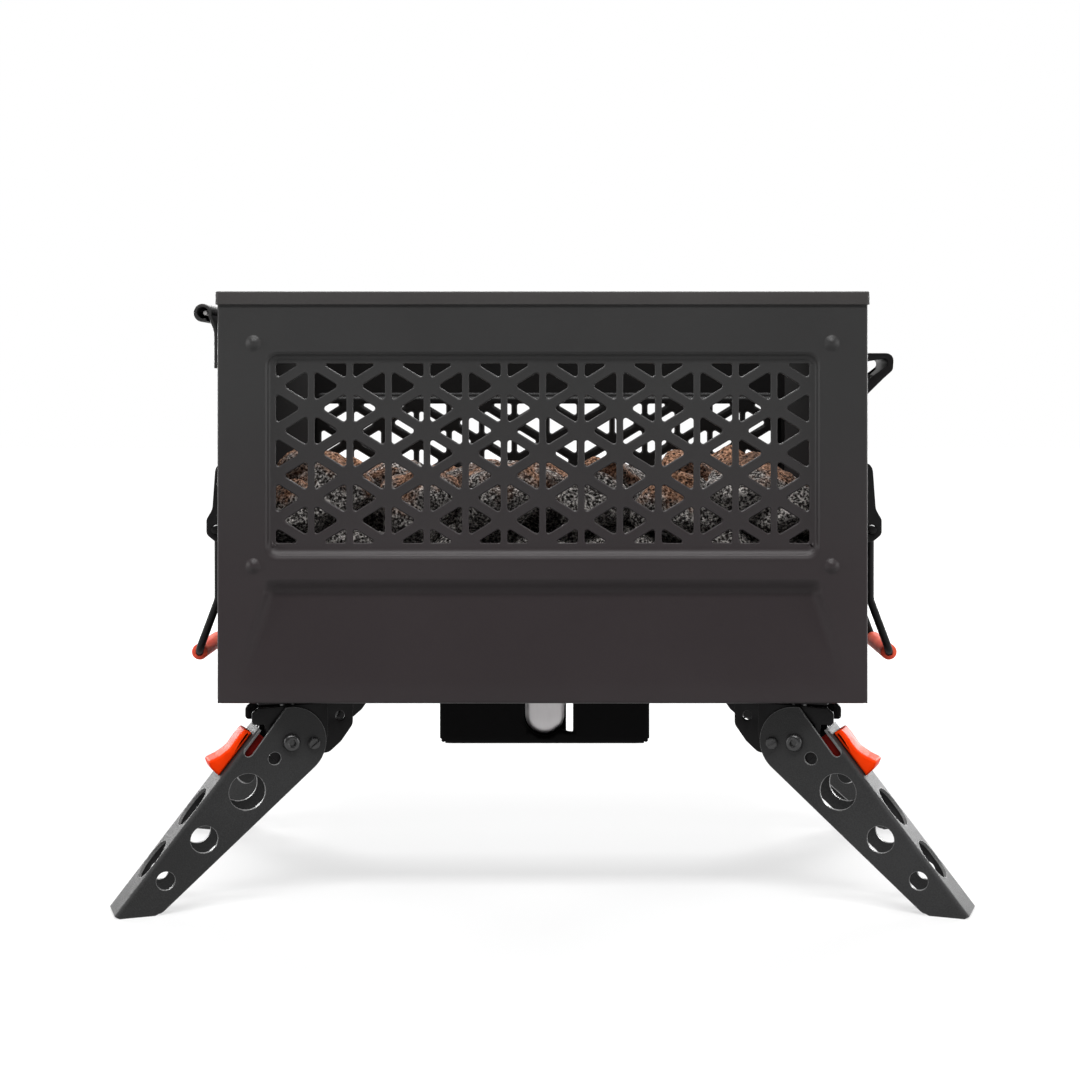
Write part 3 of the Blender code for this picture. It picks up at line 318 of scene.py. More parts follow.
def window_field(low, high):
    """All the cells of a window: copies of the pattern that face right or left, each moved to its place."""
    points, faces, total = [], [], 0
    for half in (False, True):
        rings = window_cell(half)
        quads = weave(rings.shape[0], rings.shape[1], close_columns=True)
        moves = []
        for bar in range(-7, 8):
            for side in ((1,) if bar == -7 else (-1,) if bar == 7 else (1, -1)):
                if half and bar % 2:
                    moves += [(bar, side, high, 1), (bar, side, low, -1)]
                elif not half:
                    first = high - row_pitch * (1.0 if bar % 2 else 0.5)
                    moves += [(bar, side, first - row_pitch * i, 1) for i in range(3 if bar % 2 else 4)]
        moves = np.array(moves)
        turn = np.stack([moves[:, 1], np.ones(len(moves)), moves[:, 3]], 1)[:, None, None]
        shift = np.stack([moves[:, 0] * bar_pitch, np.zeros(len(moves)), moves[:, 2]], 1)[:, None, None]
        placed = rings[None] * turn + shift
        size = rings.shape[0] * rings.shape[1]
        faces.append((quads[None] + (np.arange(len(moves)) * size)[:, None, None]).reshape(-1, 4) + total)
        points.append(placed.reshape(-1, 3))
        total += len(moves) * size
    return np.concatenate(points), np.concatenate(faces)


def rounded_loop(half_x, low, high, radius, across, up, share):
    """A rounded rectangle as points, starting at its top left corner and going clockwise."""
    arcs = corner_arcs([(-half_x, high), (half_x, high), (half_x, low), (-half_x, low)], radius)
    return np.concatenate([side_points(arcs, i, count, share * across / count)
                           for i, count in enumerate((across, up, across, up))])


def pressed_panel(name, window_low, field_low, wedge, facing):
    """The sheet as a field of cells, then loops outwards: the window's floor, its rounded wall, the flat out to
    the can's edges, where the wedge sinks as a tilted plane with soft sides, and the hem that turns back."""
    n = hole_points
    field_high = field_low + 4 * row_pitch
    points, faces = window_field(field_low, field_high)
    across, up = 14 * n, 5 * n
    top, low, edge = field_high + margin, field_low - margin, 7 * bar_pitch
    half_row = row_pitch / 2
    x = np.linspace(-edge, edge, across + 1)
    z = np.concatenate([np.linspace(top, field_high - half_row, n + 1)[:-1],
                        np.linspace(field_high - half_row, field_low + half_row, 3 * n + 1)[:-1],
                        np.linspace(field_low + half_row, low, n + 1)])
    loops = [np.concatenate([np.stack([x[:-1], np.full(across, top)], 1),
                             np.stack([np.full(up, edge), z[:-1]], 1),
                             np.stack([x[:0:-1], np.full(across, low)], 1),
                             np.stack([np.full(up, -edge), z[:0:-1]], 1)])]
    depths = [sink]

    def add_loop(half_x, bottom, top, radius, depth):
        loops.append(rounded_loop(half_x, bottom, top, radius, across, up, 5 / across))
        depths.append(depth)

    window_high = window_low + window_tall
    bend_share, bend_run = 0.6, 0.48
    for t in np.linspace(0, 1, 15):
        back = 1 - t
        rise = t * t / bend_run if t < bend_share else 1 - back * back / bend_run
        add_loop(window_half - 0.0036 * back, window_low + 0.0080 * back, window_high - 0.0050 * back,
                 0.0055 + 0.0015 * t, sink * (1 - rise))
    for t in np.concatenate([[0.02, 0.05, 0.08], np.linspace(0.10, 0.25, 20), np.linspace(0.28, 1, 18)]):
        add_loop(window_half + (can_half_x - hem - window_half) * t, window_low * (1 - t) + hem * t,
                 window_high + (can_tall - hem - window_high) * t, window_round * (1 - t) + hem_round * t, 0)
    for a in np.linspace(0, math.pi / 2, 7)[1:]:
        out = hem * math.sin(a)
        add_loop(can_half_x - hem + out, hem - out, can_tall - hem + out, hem_round + out,
                 hem * (1 - math.cos(a)))
    loops, depths = np.array(loops), np.array(depths)
    deep = np.repeat(depths[:, None], loops.shape[1], 1)
    if wedge:
        wx, wz = np.abs(loops[..., 0]), loops[..., 1]
        wedge_low, wedge_top, shoulder, soft_side, wedge_deep = 0.010, 0.0705, 0.0090, 0.0060, 0.0052
        tilt = np.clip((wz - wedge_low) / (wedge_top - shoulder - wedge_low), 0, 1)
        side = 0.1735 + (0.1575 - 0.1735) * tilt
        from_side = np.clip((side - wx) / soft_side, 0, 1)
        from_top = np.clip((wedge_top - wz) / shoulder, 0, 1)
        soft = from_side ** 2 * (3 - 2 * from_side) * from_top ** 2 * (3 - 2 * from_top)
        deep += wedge_deep * tilt * soft * (depths == 0)[:, None]
    ring = np.stack([loops[..., 0], deep, loops[..., 1]], -1)
    field = points + np.array([0, sink, 0])
    faces = np.concatenate([faces, weave(len(loops), loops.shape[1], close_columns=True) + len(field)])
    whole = np.concatenate([field, ring.reshape(-1, 3)])
    whole = np.stack([whole[:, 0] * -facing, facing * (can_half_y - whole[:, 1]), can_floor + whole[:, 2]], 1)
    made = piece(name + "_sheet", whole, faces, can_paint, "can", "can_paint", sharp=None)
    face(made, (0, facing, 0))
    outer, lean = np.abs(read(made.data.vertices, "co")), np.abs(read(made.data.vertex_normals, "vector"))
    give_values(made, "inner", outer[:, 1] - np.maximum(0.9 * sheet_thick * lean[:, 1], 0.0003))
    thicken(made, sheet_thick)
    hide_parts(name)


pressed_panel("front_panel", 0.0795, 0.0898, True, -1)
pressed_panel("rear_panel", 0.0555, 0.0658, False, 1)


# Side walls, bottom plate and tray.
# Plain folded sheet in the same powder coat, near-black on the inside. The tray under the rocks is bare black.
wall_thick = 0.0015
wall_inner = can_half_x - 0.9 * wall_thick


def paint_node(node, material):
    """Gives a node that keeps its CAD mesh a material."""
    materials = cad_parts[node].data.materials
    materials.clear()
    materials.append(material)


wall_paint = coat_with_painted_light("wall_paint", wall_inner)
paint_node("left_wall", wall_paint)
paint_node("right_wall", wall_paint)
paint_node("bottom_plate", can_paint)


def sooty(name, dark, light, roughness, metallic):
    """Heated black steel: blotches of two greys with a fine grain in the bump."""
    finish = Finish(name, roughness, metallic)
    blotch = finish.noise(35.0, 5.0, 0.6)
    grain = finish.noise(900.0, 2.0)
    return finish.paint(Base_Color=finish.colours(blotch.step(0.35, 0.7), dark, light),
                        Roughness=roughness - 0.1 + 0.25 * blotch, Normal=finish.bump(grain, 0.25, 0.0002))


tray_black = sooty("tray_black", (0.012, 0.011, 0.011), (0.035, 0.030, 0.028), 0.6, 0.3)
paint_node("rock_tray", tray_black)


# Top rim.
# A channel of thin steel folded over the tops of all four walls: an outer lip, a flat top and an inner skirt.
# Its closed profile, of (offset outwards, height), is carried round the can's rounded rectangle.
rim_top, lip, skirt, skin, bend = 0.346, 0.0011, -0.0138, 0.0008, 0.0009
turn = np.linspace(0, math.pi / 2, 6)
rim_profile = [(lip - skin, -0.0073), (lip, -0.0073)]
rim_profile += [(lip - bend + bend * math.cos(a), bend * math.sin(a) - bend) for a in turn]
rim_profile += [(skirt + bend - bend * math.sin(a), bend * math.cos(a) - bend) for a in turn]
rim_profile += [(skirt, -0.0112), (skirt + skin, -0.0112), (skirt + skin, -0.0013), (skirt + 0.0013, -skin),
                (lip - 0.0013, -skin), (lip - skin, -0.0013)]
loops = []
for out, height in rim_profile:
    loop = rounded_loop(can_half_x + out, -can_half_y - out, can_half_y + out, max(0.0012 + out, 0.0008),
                        24, 16, 0.25)
    loops.append(np.concatenate([loop, np.full((len(loop), 1), rim_top + height)], 1))
# The coat paints the rim paler, as a painted highlight.
rim = piece("folded_rim", loops, weave(len(loops), len(loops[0]), True, True), can_paint, "can", "can_paint")
x, y, _ = np.abs(read(rim.data.vertices, "co")).T
# The skirt's inside faces are painted near-black.
skirt_inside = (y - can_half_y < skirt + bend / 2) & (y - can_half_y > x - can_half_x)
give_values(rim, "inner", y + np.where(skirt_inside, 0.001, -0.001))
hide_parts("top_rim")


# Panel rivets.
# Eight low domes of steel, painted over with the can, that fasten the panels to the side walls' flanges.
def lathe(profile, steps, origin, axis, start):
    """A profile of (radius, height) turned about an axis through the origin. Start is the way of angle 0."""
    axis, start = np.array(axis, float), np.array(start, float)
    start = start - axis * (start @ axis)
    start /= np.linalg.norm(start)
    side = np.cross(axis, start)
    angle = np.arange(steps) * 2 * math.pi / steps
    profile = np.array(profile, float)
    ring = np.cos(angle)[:, None] * start + np.sin(angle)[:, None] * side
    points = np.array(origin) + profile[:, 0, None, None] * ring[None] + (profile[:, 1, None] * axis)[:, None]
    return points.reshape(-1, 3), weave(len(profile), steps, close_columns=True)


def gather(parts):
    """Several (points, faces) as one, with the faces renumbered."""
    points, faces, total = [], [], 0
    for some, quads in parts:
        points.append(np.asarray(some).reshape(-1, 3))
        faces += [[int(i) + total for i in quad] for quad in quads]
        total += len(points[-1])
    return np.concatenate(points), faces


rivet_across, rivet_levels, rivet_radius = 0.162, (0.0772, 0.202), 0.0046
rivet = [(rivet_radius * v, 0.00005 + 0.0021 * (1 - v * v) ** 1.5) for v in np.linspace(0, 1, 14)]
rivet += [(0.0020, 0), (0.0020, -0.0034), (0.0030, -0.0036), (0.0026, -0.0048), (0, -0.0050)]
for end, facing in (("front", -1), ("rear", 1)):
    heads = [lathe(rivet, 28, (x, facing * can_half_y, can_floor + z), (0, facing, 0), (1, 0, 0))
             for x in (-rivet_across, rivet_across) for z in rivet_levels]
    made = piece(f"{end}_rivet_heads", *gather(heads), can_paint, "can", "can_paint")
    nodes = [f"rivet_{end}_{side}_{level}" for side in ("left", "right") for level in ("lower", "upper")]
    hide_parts(*nodes)


# Lid hinge half.
# A strip of steel spot-fixed to the left wall and rolled at its top into an open knuckle round a bright rod.
def strip(path, half_width, thickness, rounding):
    """A bent strip: its side outline is the path set off by half the thickness each way, extruded along Y."""
    path = np.array(path, float)
    tangent = np.gradient(path, axis=0)
    tangent /= np.linalg.norm(tangent, axis=1, keepdims=True)
    normal = np.stack([-tangent[:, 1], tangent[:, 0]], 1) * thickness / 2
    outline = np.concatenate([path + normal, (path - normal)[::-1]])
    y = np.array([-half_width, rounding - half_width, half_width - rounding, half_width])
    grow = np.array([1 - rounding / thickness, 1, 1, 1 - rounding / thickness])
    middle = np.concatenate([path, path[::-1]])
    rings = middle[None] + (outline - middle)[None] * grow[:, None, None]
    points = np.stack([rings[..., 0], np.broadcast_to(y[:, None], rings.shape[:2]), rings[..., 1]], -1)
    quads = [list(q) for q in weave(4, len(outline), close_columns=True)]
    last = len(outline) * 3
    count = len(path)
    for i in range(count - 1):
        j = len(outline) - 1 - i
        quads += [[i, i + 1, j - 1, j], [last + i + 1, last + i, last + j, last + j - 1]]
    return points.reshape(-1, 3), quads


curl = np.radians(np.linspace(-20, 294, 40))
knuckle_off, knuckle_level, knuckle_radius, rod_off = 0.0097, 0.2193, 0.0042, 0.0083
knuckle = [(0.0023, z) for z in np.linspace(0.188, 0.2065, 6)] + [(0.0024, 0.2085), (0.0031, 0.2110)]
knuckle = [(-can_half_x - x, can_floor + z) for x, z in knuckle]
knuckle += [(-can_half_x - knuckle_off + knuckle_radius * math.cos(a),
             can_floor + knuckle_level + knuckle_radius * math.sin(a)) for a in curl]
hinge = piece("hinge_half", *strip(knuckle, 0.092, 0.0019, 0.0004), can_paint, "can", "can_paint")
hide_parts("hinge_leaf")


def bare_metal(name, colour, roughness, streak):
    """Bare drawn metal: fine streaks along one axis vary the roughness and a little of the tone."""
    finish = Finish(name, roughness, 1.0)
    stretched = finish.node("ShaderNodeMapping", {}, {"Vector": finish.place, "Scale": streak})
    lines = finish.node("ShaderNodeTexNoise", {}, {"Vector": stretched, "Scale": 60.0, "Detail": 4.0})
    return finish.paint(Base_Color=finish.colours(lines, tuple(c * 0.82 for c in colour), colour),
                        Roughness=roughness - 0.08 + 0.2 * lines, Normal=finish.bump(lines, 0.1, 0.0002))


bright_steel = bare_metal("bright_steel", (0.55, 0.54, 0.53), 0.34, (20.0, 1.0, 20.0))
rod_profile = [(0, 0.0910), (0.0011, 0.0909), (0.0015, 0.0905), (0.0015, -0.0905), (0.0011, -0.0909),
               (0, -0.0910)]
rod_centre = (-can_half_x - rod_off, 0, can_floor + knuckle_level)
rod = piece("hinge_pin", *lathe(rod_profile, 20, rod_centre, (0, 1, 0), (1, 0, 0)), bright_steel, "can",
            "bright_steel")
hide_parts("hinge_rod")


# Lid catch.
# A keeper pressed from black steel on the right wall: a base, two side gussets and a rolled nose between them.
def inside(points, loops):
    """True where a point lies inside an odd number of the loops, by counting crossings to its right."""
    found = np.zeros(len(points), bool)
    for loop in loops:
        a, b = loop, np.roll(loop, -1, 0)
        x, y = points[:, 0, None], points[:, 1, None]
        spans = (a[:, 1] > y) != (b[:, 1] > y)
        with np.errstate(divide="ignore", invalid="ignore"):
            cross = a[:, 0] + (y - a[:, 1]) / (b[:, 1] - a[:, 1]) * (b[:, 0] - a[:, 0])
        found ^= ((spans & (x < cross)).sum(1) % 2).astype(bool)
    return found


def fill(loops, extra=()):
    """Triangles between an outer loop and its holes, by Delaunay triangulation; extra points may lie inside."""
    points = np.concatenate([*loops, *extra]) if len(extra) else np.concatenate(loops)
    edges, start = [], 0
    for loop in loops:
        index = start + np.arange(len(loop))
        edges += np.stack([index, np.roll(index, -1)], 1).tolist()
        start += len(loop)
    places, _, triangles, *_ = delaunay_2d_cdt([Vector(p) for p in points.tolist()], edges, [], 0, 1e-9, False)
    places = np.array([tuple(p) for p in places])
    triangles = np.array([t for t in triangles if len(t) == 3])
    return places, triangles[inside(places[triangles].mean(1), loops)]


def wind(loop, left):
    """The loop turned anticlockwise where left is true, and clockwise where it isn't."""
    loop = np.asarray(loop, float)
    ahead = np.roll(loop, -1, 0)
    area = (loop[:, 0] * ahead[:, 1] - ahead[:, 0] * loop[:, 1]).sum()
    return loop if (area > 0) == left else loop[::-1]


def moved(points, place):
    """The points carried to a place, which is given as a matrix."""
    place = np.array(place, float)
    return points @ place[:3, :3].T + place[:3, 3]


def plate(loops, thickness, rounding, place, steps=3):
    """A flat plate with rounded edges. Each loop is set in towards the metal by r (1 - cos a) at height
    r sin a above the straight edge, and the flats are filled between the innermost loops."""
    loops = [wind(loop, i == 0) for i, loop in enumerate(loops)]
    angle = np.linspace(0, math.pi / 2, steps + 1)
    inset, level = rounding * (1 - np.cos(angle)), rounding * (1 - np.sin(angle))
    inset = np.concatenate([inset[::-1], inset])
    level = np.concatenate([level[::-1] - thickness / 2, thickness / 2 - level])
    parts, flats = [], []
    for loop in loops:
        along = np.roll(loop, -1, 0) - loop
        along /= np.linalg.norm(along, axis=1, keepdims=True)
        before = np.roll(along, 1, 0)
        normal = np.stack([-(along + before)[:, 1], (along + before)[:, 0]], 1)
        normal /= (normal * np.stack([-along[:, 1], along[:, 0]], 1)).sum(1, keepdims=True)
        rings = loop[None] + normal[None] * inset[:, None, None]
        height = np.broadcast_to(level[:, None, None], rings.shape[:2] + (1,))
        points = np.concatenate([rings, height], -1).reshape(-1, 3)
        parts.append((points, weave(len(inset), len(loop), close_columns=True)))
        flats.append(rings[-1])
    corners, triangles = fill(flats)
    for side in (-1, 1):
        flat = np.concatenate([corners, corners[:, :1] * 0 + side * thickness / 2], 1)
        parts.append((flat, triangles[:, ::side]))
    points, faces = gather(parts)
    return moved(points, place), faces


def rounded(corners, radius, steps=5):
    """A polygon with each corner replaced by an arc; a radius may be given for each corner."""
    arcs = corner_arcs(corners, radius)
    return np.concatenate([arc_point(arcs, k, np.linspace(-1, 1, steps)) for k in range(len(corners))])


def upright(x, y, z):
    """Stands a plate's X and Y in the world's X and Z, with its thickness along Y."""
    return Matrix.Translation((x, y, z)) @ Matrix.Rotation(math.pi / 2, 4, "X")


def dome(radius, height, rim_height):
    """A low spherical cap over a short straight edge, as a profile from the pole outwards."""
    turn = np.linspace(0, math.pi / 2, 8)
    return [(radius * math.sin(a), rim_height + (height - rim_height) * math.cos(a)) for a in turn]


def powder_coat(name, dark, light, roughness, grain, depth, specular=0.2):
    """Powder coat: a fine orange-peel bump, and two soft scales of tone over the colour."""
    finish = Finish(name, roughness, specular=specular)
    cloud = finish.noise(9.0, 3.0)
    speck = finish.noise(grain, 2.0, 0.6)
    tone = cloud * 0.6 + speck * 0.4
    return finish.paint(Base_Color=finish.colours(tone.step(0.35, 0.68), dark, light),
                        Roughness=roughness - 0.05 + 0.12 * speck, Normal=finish.bump(speck, depth, 0.0002))


black_steel = powder_coat("black_steel", (0.0040, 0.0036, 0.0039), (0.0085, 0.0078, 0.0082), 0.42, 1500.0,
                          0.22, 0.15)
gusset = rounded([(0.001, 0.162), (0.0222, 0.1828), (0.0278, 0.1878), (0.0285, 0.1980), (0.001, 0.198)],
                 [0.0004, 0.004, 0.004, 0.0045, 0.0004])
opening = rounded([(0.0016, 0.1752), (0.0195, 0.1868), (0.0243, 0.1905), (0.0243, 0.1950), (0.0016, 0.1910)],
                  [0.0004, 0.003, 0.002, 0.002, 0.0004])
nose = rounded([(0.012, 0.1967), (0.0235, 0.1967), (0.0268, 0.1925), (0.0255, 0.1875), (0.0205, 0.1830),
                (0.0192, 0.1848), (0.0235, 0.1885), (0.0245, 0.1925), (0.0225, 0.1947), (0.012, 0.1947)],
               [0.0004, 0.0028, 0.003, 0.004, 0.0008, 0.0008, 0.003, 0.002, 0.001, 0.0004])
base = rounded([(0.158, -0.021), (0.201, -0.021), (0.201, 0.021), (0.158, 0.021)], 0.003)
base_thick, base_gap = 0.0015, 0.0003
base_off = can_half_x + base_gap + base_thick / 2
on_wall = Matrix(((0, 0, 1, base_off), (0, 1, 0, 0), (1, 0, 0, can_floor), (0, 0, 0, 1)))
catch_parts = [plate([base], base_thick, 0.0004, on_wall)]
catch_parts += [plate([gusset, opening], 0.002, 0.0005, upright(can_half_x, y, can_floor))
                for y in (-0.020, 0.020)]
catch_parts.append(plate([nose], 0.0385, 0.0002, upright(can_half_x, 0, can_floor)))
catch_parts += [lathe(dome(0.003, 0.0030, 0.0016), 20, (can_half_x, y, can_floor + 0.176), (1, 0, 0), (0, 1, 0))
                for y in (-0.014, 0.014)]
catch = piece("lid_keeper", *gather(catch_parts), black_steel, "can", "can_paint")
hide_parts("latch_catch")


# Handle brackets.
# One on each short wall: a riveted base and two ears that stand off it, with a hole for the wire in each.
ear_low, pivot_off = 0.093, 0.012
ear = [(0.001, -0.0075), (0.0125, -0.0075), (0.0180, -0.003), (0.0180, 0.006), (0.0145, 0.012), (0.0125, 0.040),
       (0.001, 0.040)]
ear = rounded(np.array(ear) + (0, ear_low), [0.0004, 0.005, 0.004, 0.004, 0.008, 0.006, 0.0004])
eye = rounded(np.array([(1, 1), (-1, 1), (-1, -1), (1, -1)]) * 0.0027 + (pivot_off, ear_low), 0.00269)
pad = np.array([(-0.010, -0.042), (0.044, -0.042), (0.044, 0.042), (-0.010, 0.042)])
pad = rounded(pad + (ear_low, 0), 0.004)
for label, side in (("left", -1), ("right", 1)):
    around = Matrix.Rotation(0 if side > 0 else math.pi, 4, "Z")
    parts = [plate([pad], base_thick, 0.0004, around @ on_wall)]
    parts += [plate([ear, eye], 0.002, 0.0005, around @ upright(can_half_x, y, can_floor))
              for y in (-0.038, 0.038)]
    for y in (-0.022, 0.022):
        for z in (ear_low, ear_low + 0.034):
            foot = (side * can_half_x, y, can_floor + z)
            parts.append(lathe(dome(0.0038, 0.0036, 0.0017), 22, foot, (side, 0, 0), (0, 1, 0)))
    made = piece(f"{label}_handle_mount", *gather(parts), black_steel, "can", "black_steel")
    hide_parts(f"handle_bracket_{label}")


# Carrying handles.
# A bail of 4.7 mm black wire hooked into the bracket's ears, with a foam sleeve in orange-red on its grip.
def fillet(corners, radii, steps=7):
    """A path through the corners, each replaced by points on an arc that touches both of its straight runs."""
    corners = np.asarray(corners, float)
    out = [corners[:1]]
    for k, radius in enumerate(radii, 1):
        back, ahead = corners[k - 1] - corners[k], corners[k + 1] - corners[k]
        back, ahead = back / np.linalg.norm(back), ahead / np.linalg.norm(ahead)
        half = math.acos(np.clip(back @ ahead, -1, 1)) / 2
        middle = (back + ahead) / np.linalg.norm(back + ahead)
        centre = corners[k] + middle * radius / math.sin(half)
        across = ahead - middle * (ahead @ middle)
        across /= np.linalg.norm(across)
        f = np.linspace(-1, 1, steps)[:, None] * (math.pi / 2 - half)
        out.append(centre + radius * (np.sin(f) * across - np.cos(f) * middle))
    return np.concatenate(out + [corners[-1:]])


def wire(path, radius, sides, across):
    """A round wire along a path: rings square to the path, with a fixed direction that it never runs along, and
    two shrinking rings that close each end as a small rounded tip."""
    path = np.asarray(path, float)
    tangent = np.gradient(path, axis=0)
    tangent /= np.linalg.norm(tangent, axis=1, keepdims=True)
    second = np.cross(tangent, across)
    second /= np.linalg.norm(second, axis=1, keepdims=True)
    first = np.cross(second, tangent)
    angle = np.arange(sides) * 2 * math.pi / sides
    before, after = path[:1] - tangent[:1] * 0.0002, path[-1:] + tangent[-1:] * 0.0002
    path = np.concatenate([before, before, path, after, after])
    first, second = (np.concatenate([v[:1], v[:1], v, v[-1:], v[-1:]]) for v in (first, second))
    size = np.concatenate([[0, radius * 0.85], np.full(len(path) - 4, radius), [radius * 0.85, 0]])
    ring = np.cos(angle)[None, :, None] * first[:, None] + np.sin(angle)[None, :, None] * second[:, None]
    points = path[:, None] + ring * size[:, None, None]
    return points.reshape(-1, 3), weave(len(path), sides, close_columns=True)


def foam(name, pale, deep):
    """Closed-cell foam: a soft skin with fine pits, paler where it is scuffed."""
    finish = Finish(name, 0.55, specular=0.35)
    pits = finish.noise(1500.0, 2.0, 0.7)
    scuff = finish.noise(60.0, 3.0)
    return finish.paint(Base_Color=finish.colours(scuff.step(0.4, 0.75), deep, pale),
                        Roughness=0.45 + 0.2 * pits, Normal=finish.bump(pits, 0.35, 0.0002))


sleeve_orange = foam("sleeve_orange", (0.95, 0.16, 0.07), (0.86, 0.08, 0.035))
grip_off, grip_low, arm, knee = 0.024, 0.019, 0.0325, 0.051
hook = [(pivot_off, 0.0425, ear_low), (pivot_off, arm, ear_low), (pivot_off, arm, knee),
        (grip_off, arm, grip_low)]
end, radius, bore = 0.0288, 0.0048, 0.00242
sleeve = [(bore, end), (radius - 0.0008, end), (radius - 0.0002, end - 0.0003), (radius, end - 0.0009)]
sleeve += [(radius + 0.00006 * math.sin(v * 9), v) for v in np.linspace(end - 0.002, 0.002 - end, 24)]
sleeve += [(radius, 0.0009 - end), (radius - 0.0002, 0.0003 - end), (radius - 0.0008, -end), (bore, -end),
           (bore, end)]
for label, side in (("left", -1), ("right", 1)):
    corners = np.concatenate([np.array(hook) * (side, -1, 1), np.array(hook[::-1]) * (side, 1, 1)])
    path = fillet(corners + (side * can_half_x, 0, can_floor), [0.004, 0.010, 0.006, 0.006, 0.010, 0.004])
    made = piece(f"{label}_bail", *wire(path, 0.00235, 20, (1, 0, 0)), black_steel, f"handle_{label}",
                 "black_steel")
    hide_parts(f"handle_wire_{label}")
    grip = (side * (can_half_x + grip_off), 0, can_floor + grip_low)
    made = piece(f"{label}_grip", *lathe(sleeve, 32, grip, (0, 1, 0), (1, 0, 0)), sleeve_orange,
                 f"handle_{label}", "orange_sleeve")
    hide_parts(f"handle_sleeve_{label}")


# Folding legs.
# Each is cut from 2 mm sheet and folded into a channel: two side plates with three lightening holes and a round
# head, and an outer web with two slots. It is powder-coated with a fine sand texture, with a painted highlight
# at the edges and a painted shadow towards the head.
lean = math.radians(-51.2)
leg_cos, leg_sin = math.cos(lean), math.sin(lean)
pivot_x, pivot_y, pivot_z, splay = 0.147, 0.075, 0.091, math.radians(20)
pin_x, pin_z = -0.0129, -0.0011
corners_of_can = {"front_left": (-1, -1, math.pi + splay, -1), "front_right": (1, -1, -splay, 1),
                  "rear_left": (-1, 1, math.pi - splay, 1), "rear_right": (1, 1, splay, -1)}


def leg_place(corner):
    """The matrix of a leg's own space, about its pivot with X outwards and Z up, in the world."""
    x, y, turn, _ = corners_of_can[corner]
    return Matrix.Translation((x * pivot_x, y * pivot_y, pivot_z)) @ Matrix.Rotation(turn, 4, "Z")


web_half, head_radius, bend_radius, leg_thick = 0.0107, 0.020, 0.0028, 0.0019
bend_length = bend_radius * math.pi / 2
plate_start = web_half + bend_length
fold_level = head_radius - bend_radius


def unfolded(along, out):
    """A place on a side plate, given along the web and out from the pivot, as its place on the flat blank."""
    return along, plate_start + fold_level - out


def folded(blank):
    """The flat blank's points bent up: the web is flat, each edge turns a quarter circle, then runs down."""
    along, across = blank[:, 0], np.abs(blank[:, 1])
    angle = np.clip((across - web_half) / bend_length, 0, 1) * math.pi / 2
    y = np.minimum(across, web_half) + bend_radius * np.sin(angle)
    out = fold_level + bend_radius * np.cos(angle) - np.maximum(across - plate_start, 0)
    return np.stack([along * leg_cos - out * leg_sin, y * np.sign(blank[:, 1]),
                     along * leg_sin + out * leg_cos], 1)


def on_circle(angle):
    """The points of a circle of radius 1 at the given angles."""
    return np.stack([np.cos(angle), np.sin(angle)], -1)


def circle(x, y, radius, count=28):
    """A circle about (x, y), as points at equal angles."""
    return radius * on_circle(np.arange(count) * 2 * math.pi / count) + (x, y)


def slot_loop(start, end, half):
    """A slot along X with round ends: the right end's half circle, then the same turned about the middle."""
    right = half * on_circle(np.radians(np.linspace(-90, 90, 11))) + (end - half, 0)
    return np.concatenate([right, right * -1 + (start + end, 0)])


def half_blank():
    """The blank's outline on one side, from the web's head end round the notch and the head to the foot."""
    head = np.radians(np.linspace(132.3, 280, 34))
    head_points = np.stack(unfolded(head_radius * np.cos(head), head_radius * np.sin(head)), 1)
    turn = np.radians(np.linspace(-90, 90, 9))
    notch_mid, notch_half = 0.0158, 0.0028
    notch = notch_half * on_circle(turn) + (0.0210 - notch_half, notch_mid)
    lip = np.array([(0.0047, 0.0122), (0.0049, 0.0128), (0.0055, 0.0130)])
    heel = np.array([unfolded(*p) for p in ((0.1140, -0.0002), (0.1156, 0.0004), (0.1168, 0.0014))])
    level = np.linspace(0.0022, fold_level, 3)
    bend = np.linspace(plate_start, web_half, 6)
    out = fold_level + bend_radius * np.cos((bend - web_half) / bend_length * math.pi / 2)
    lift = leg_thick * leg_cos * np.cos((bend - web_half) / bend_length * math.pi / 2)
    foot = [unfolded((pivot_z + leg_cos * v) / -leg_sin, v) for v in level]
    foot += [((pivot_z - up + leg_cos * o) / -leg_sin, s) for o, s, up in zip(out[1:], bend[1:], lift[1:])]
    return np.concatenate([lip, notch, head_points, heel, np.array(foot)])


def dense(loop, gap):
    """The closed loop with its long sides cut into equal lengths no longer than the gap."""
    ahead = np.roll(loop, -1, 0)
    counts = np.ceil(np.linalg.norm(ahead - loop, axis=1) / gap).astype(int)
    share = np.concatenate([np.arange(c) / c for c in counts])[:, None]
    return np.repeat(loop, counts, 0) * (1 - share) + np.repeat(ahead, counts, 0) * share


def inset_loop(loop, distance, outer):
    """The loop moved by a distance into the metal: inwards for the outline and outwards for a hole."""
    ahead = np.roll(loop, -1, 0) - np.roll(loop, 1, 0)
    ahead /= np.linalg.norm(ahead, axis=1, keepdims=True)
    left = np.stack([-ahead[:, 1], ahead[:, 0]], 1)
    return loop + left * distance * (1 if (wind(loop, True) is loop) == outer else -1)


def without_slivers(points, faces):
    """The triangles at least a hundredth of a millimetre tall, by twice the area over the longest side. The
    rest lie along straight cuts and would turn the sheet's normals."""
    corners = points[faces]
    sides = np.roll(corners, -1, 1) - corners
    doubled = np.abs(sides[:, 0, 0] * sides[:, 1, 1] - sides[:, 0, 1] * sides[:, 1, 0])
    return faces[doubled / np.linalg.norm(sides, axis=2).max(1) > 1e-5]


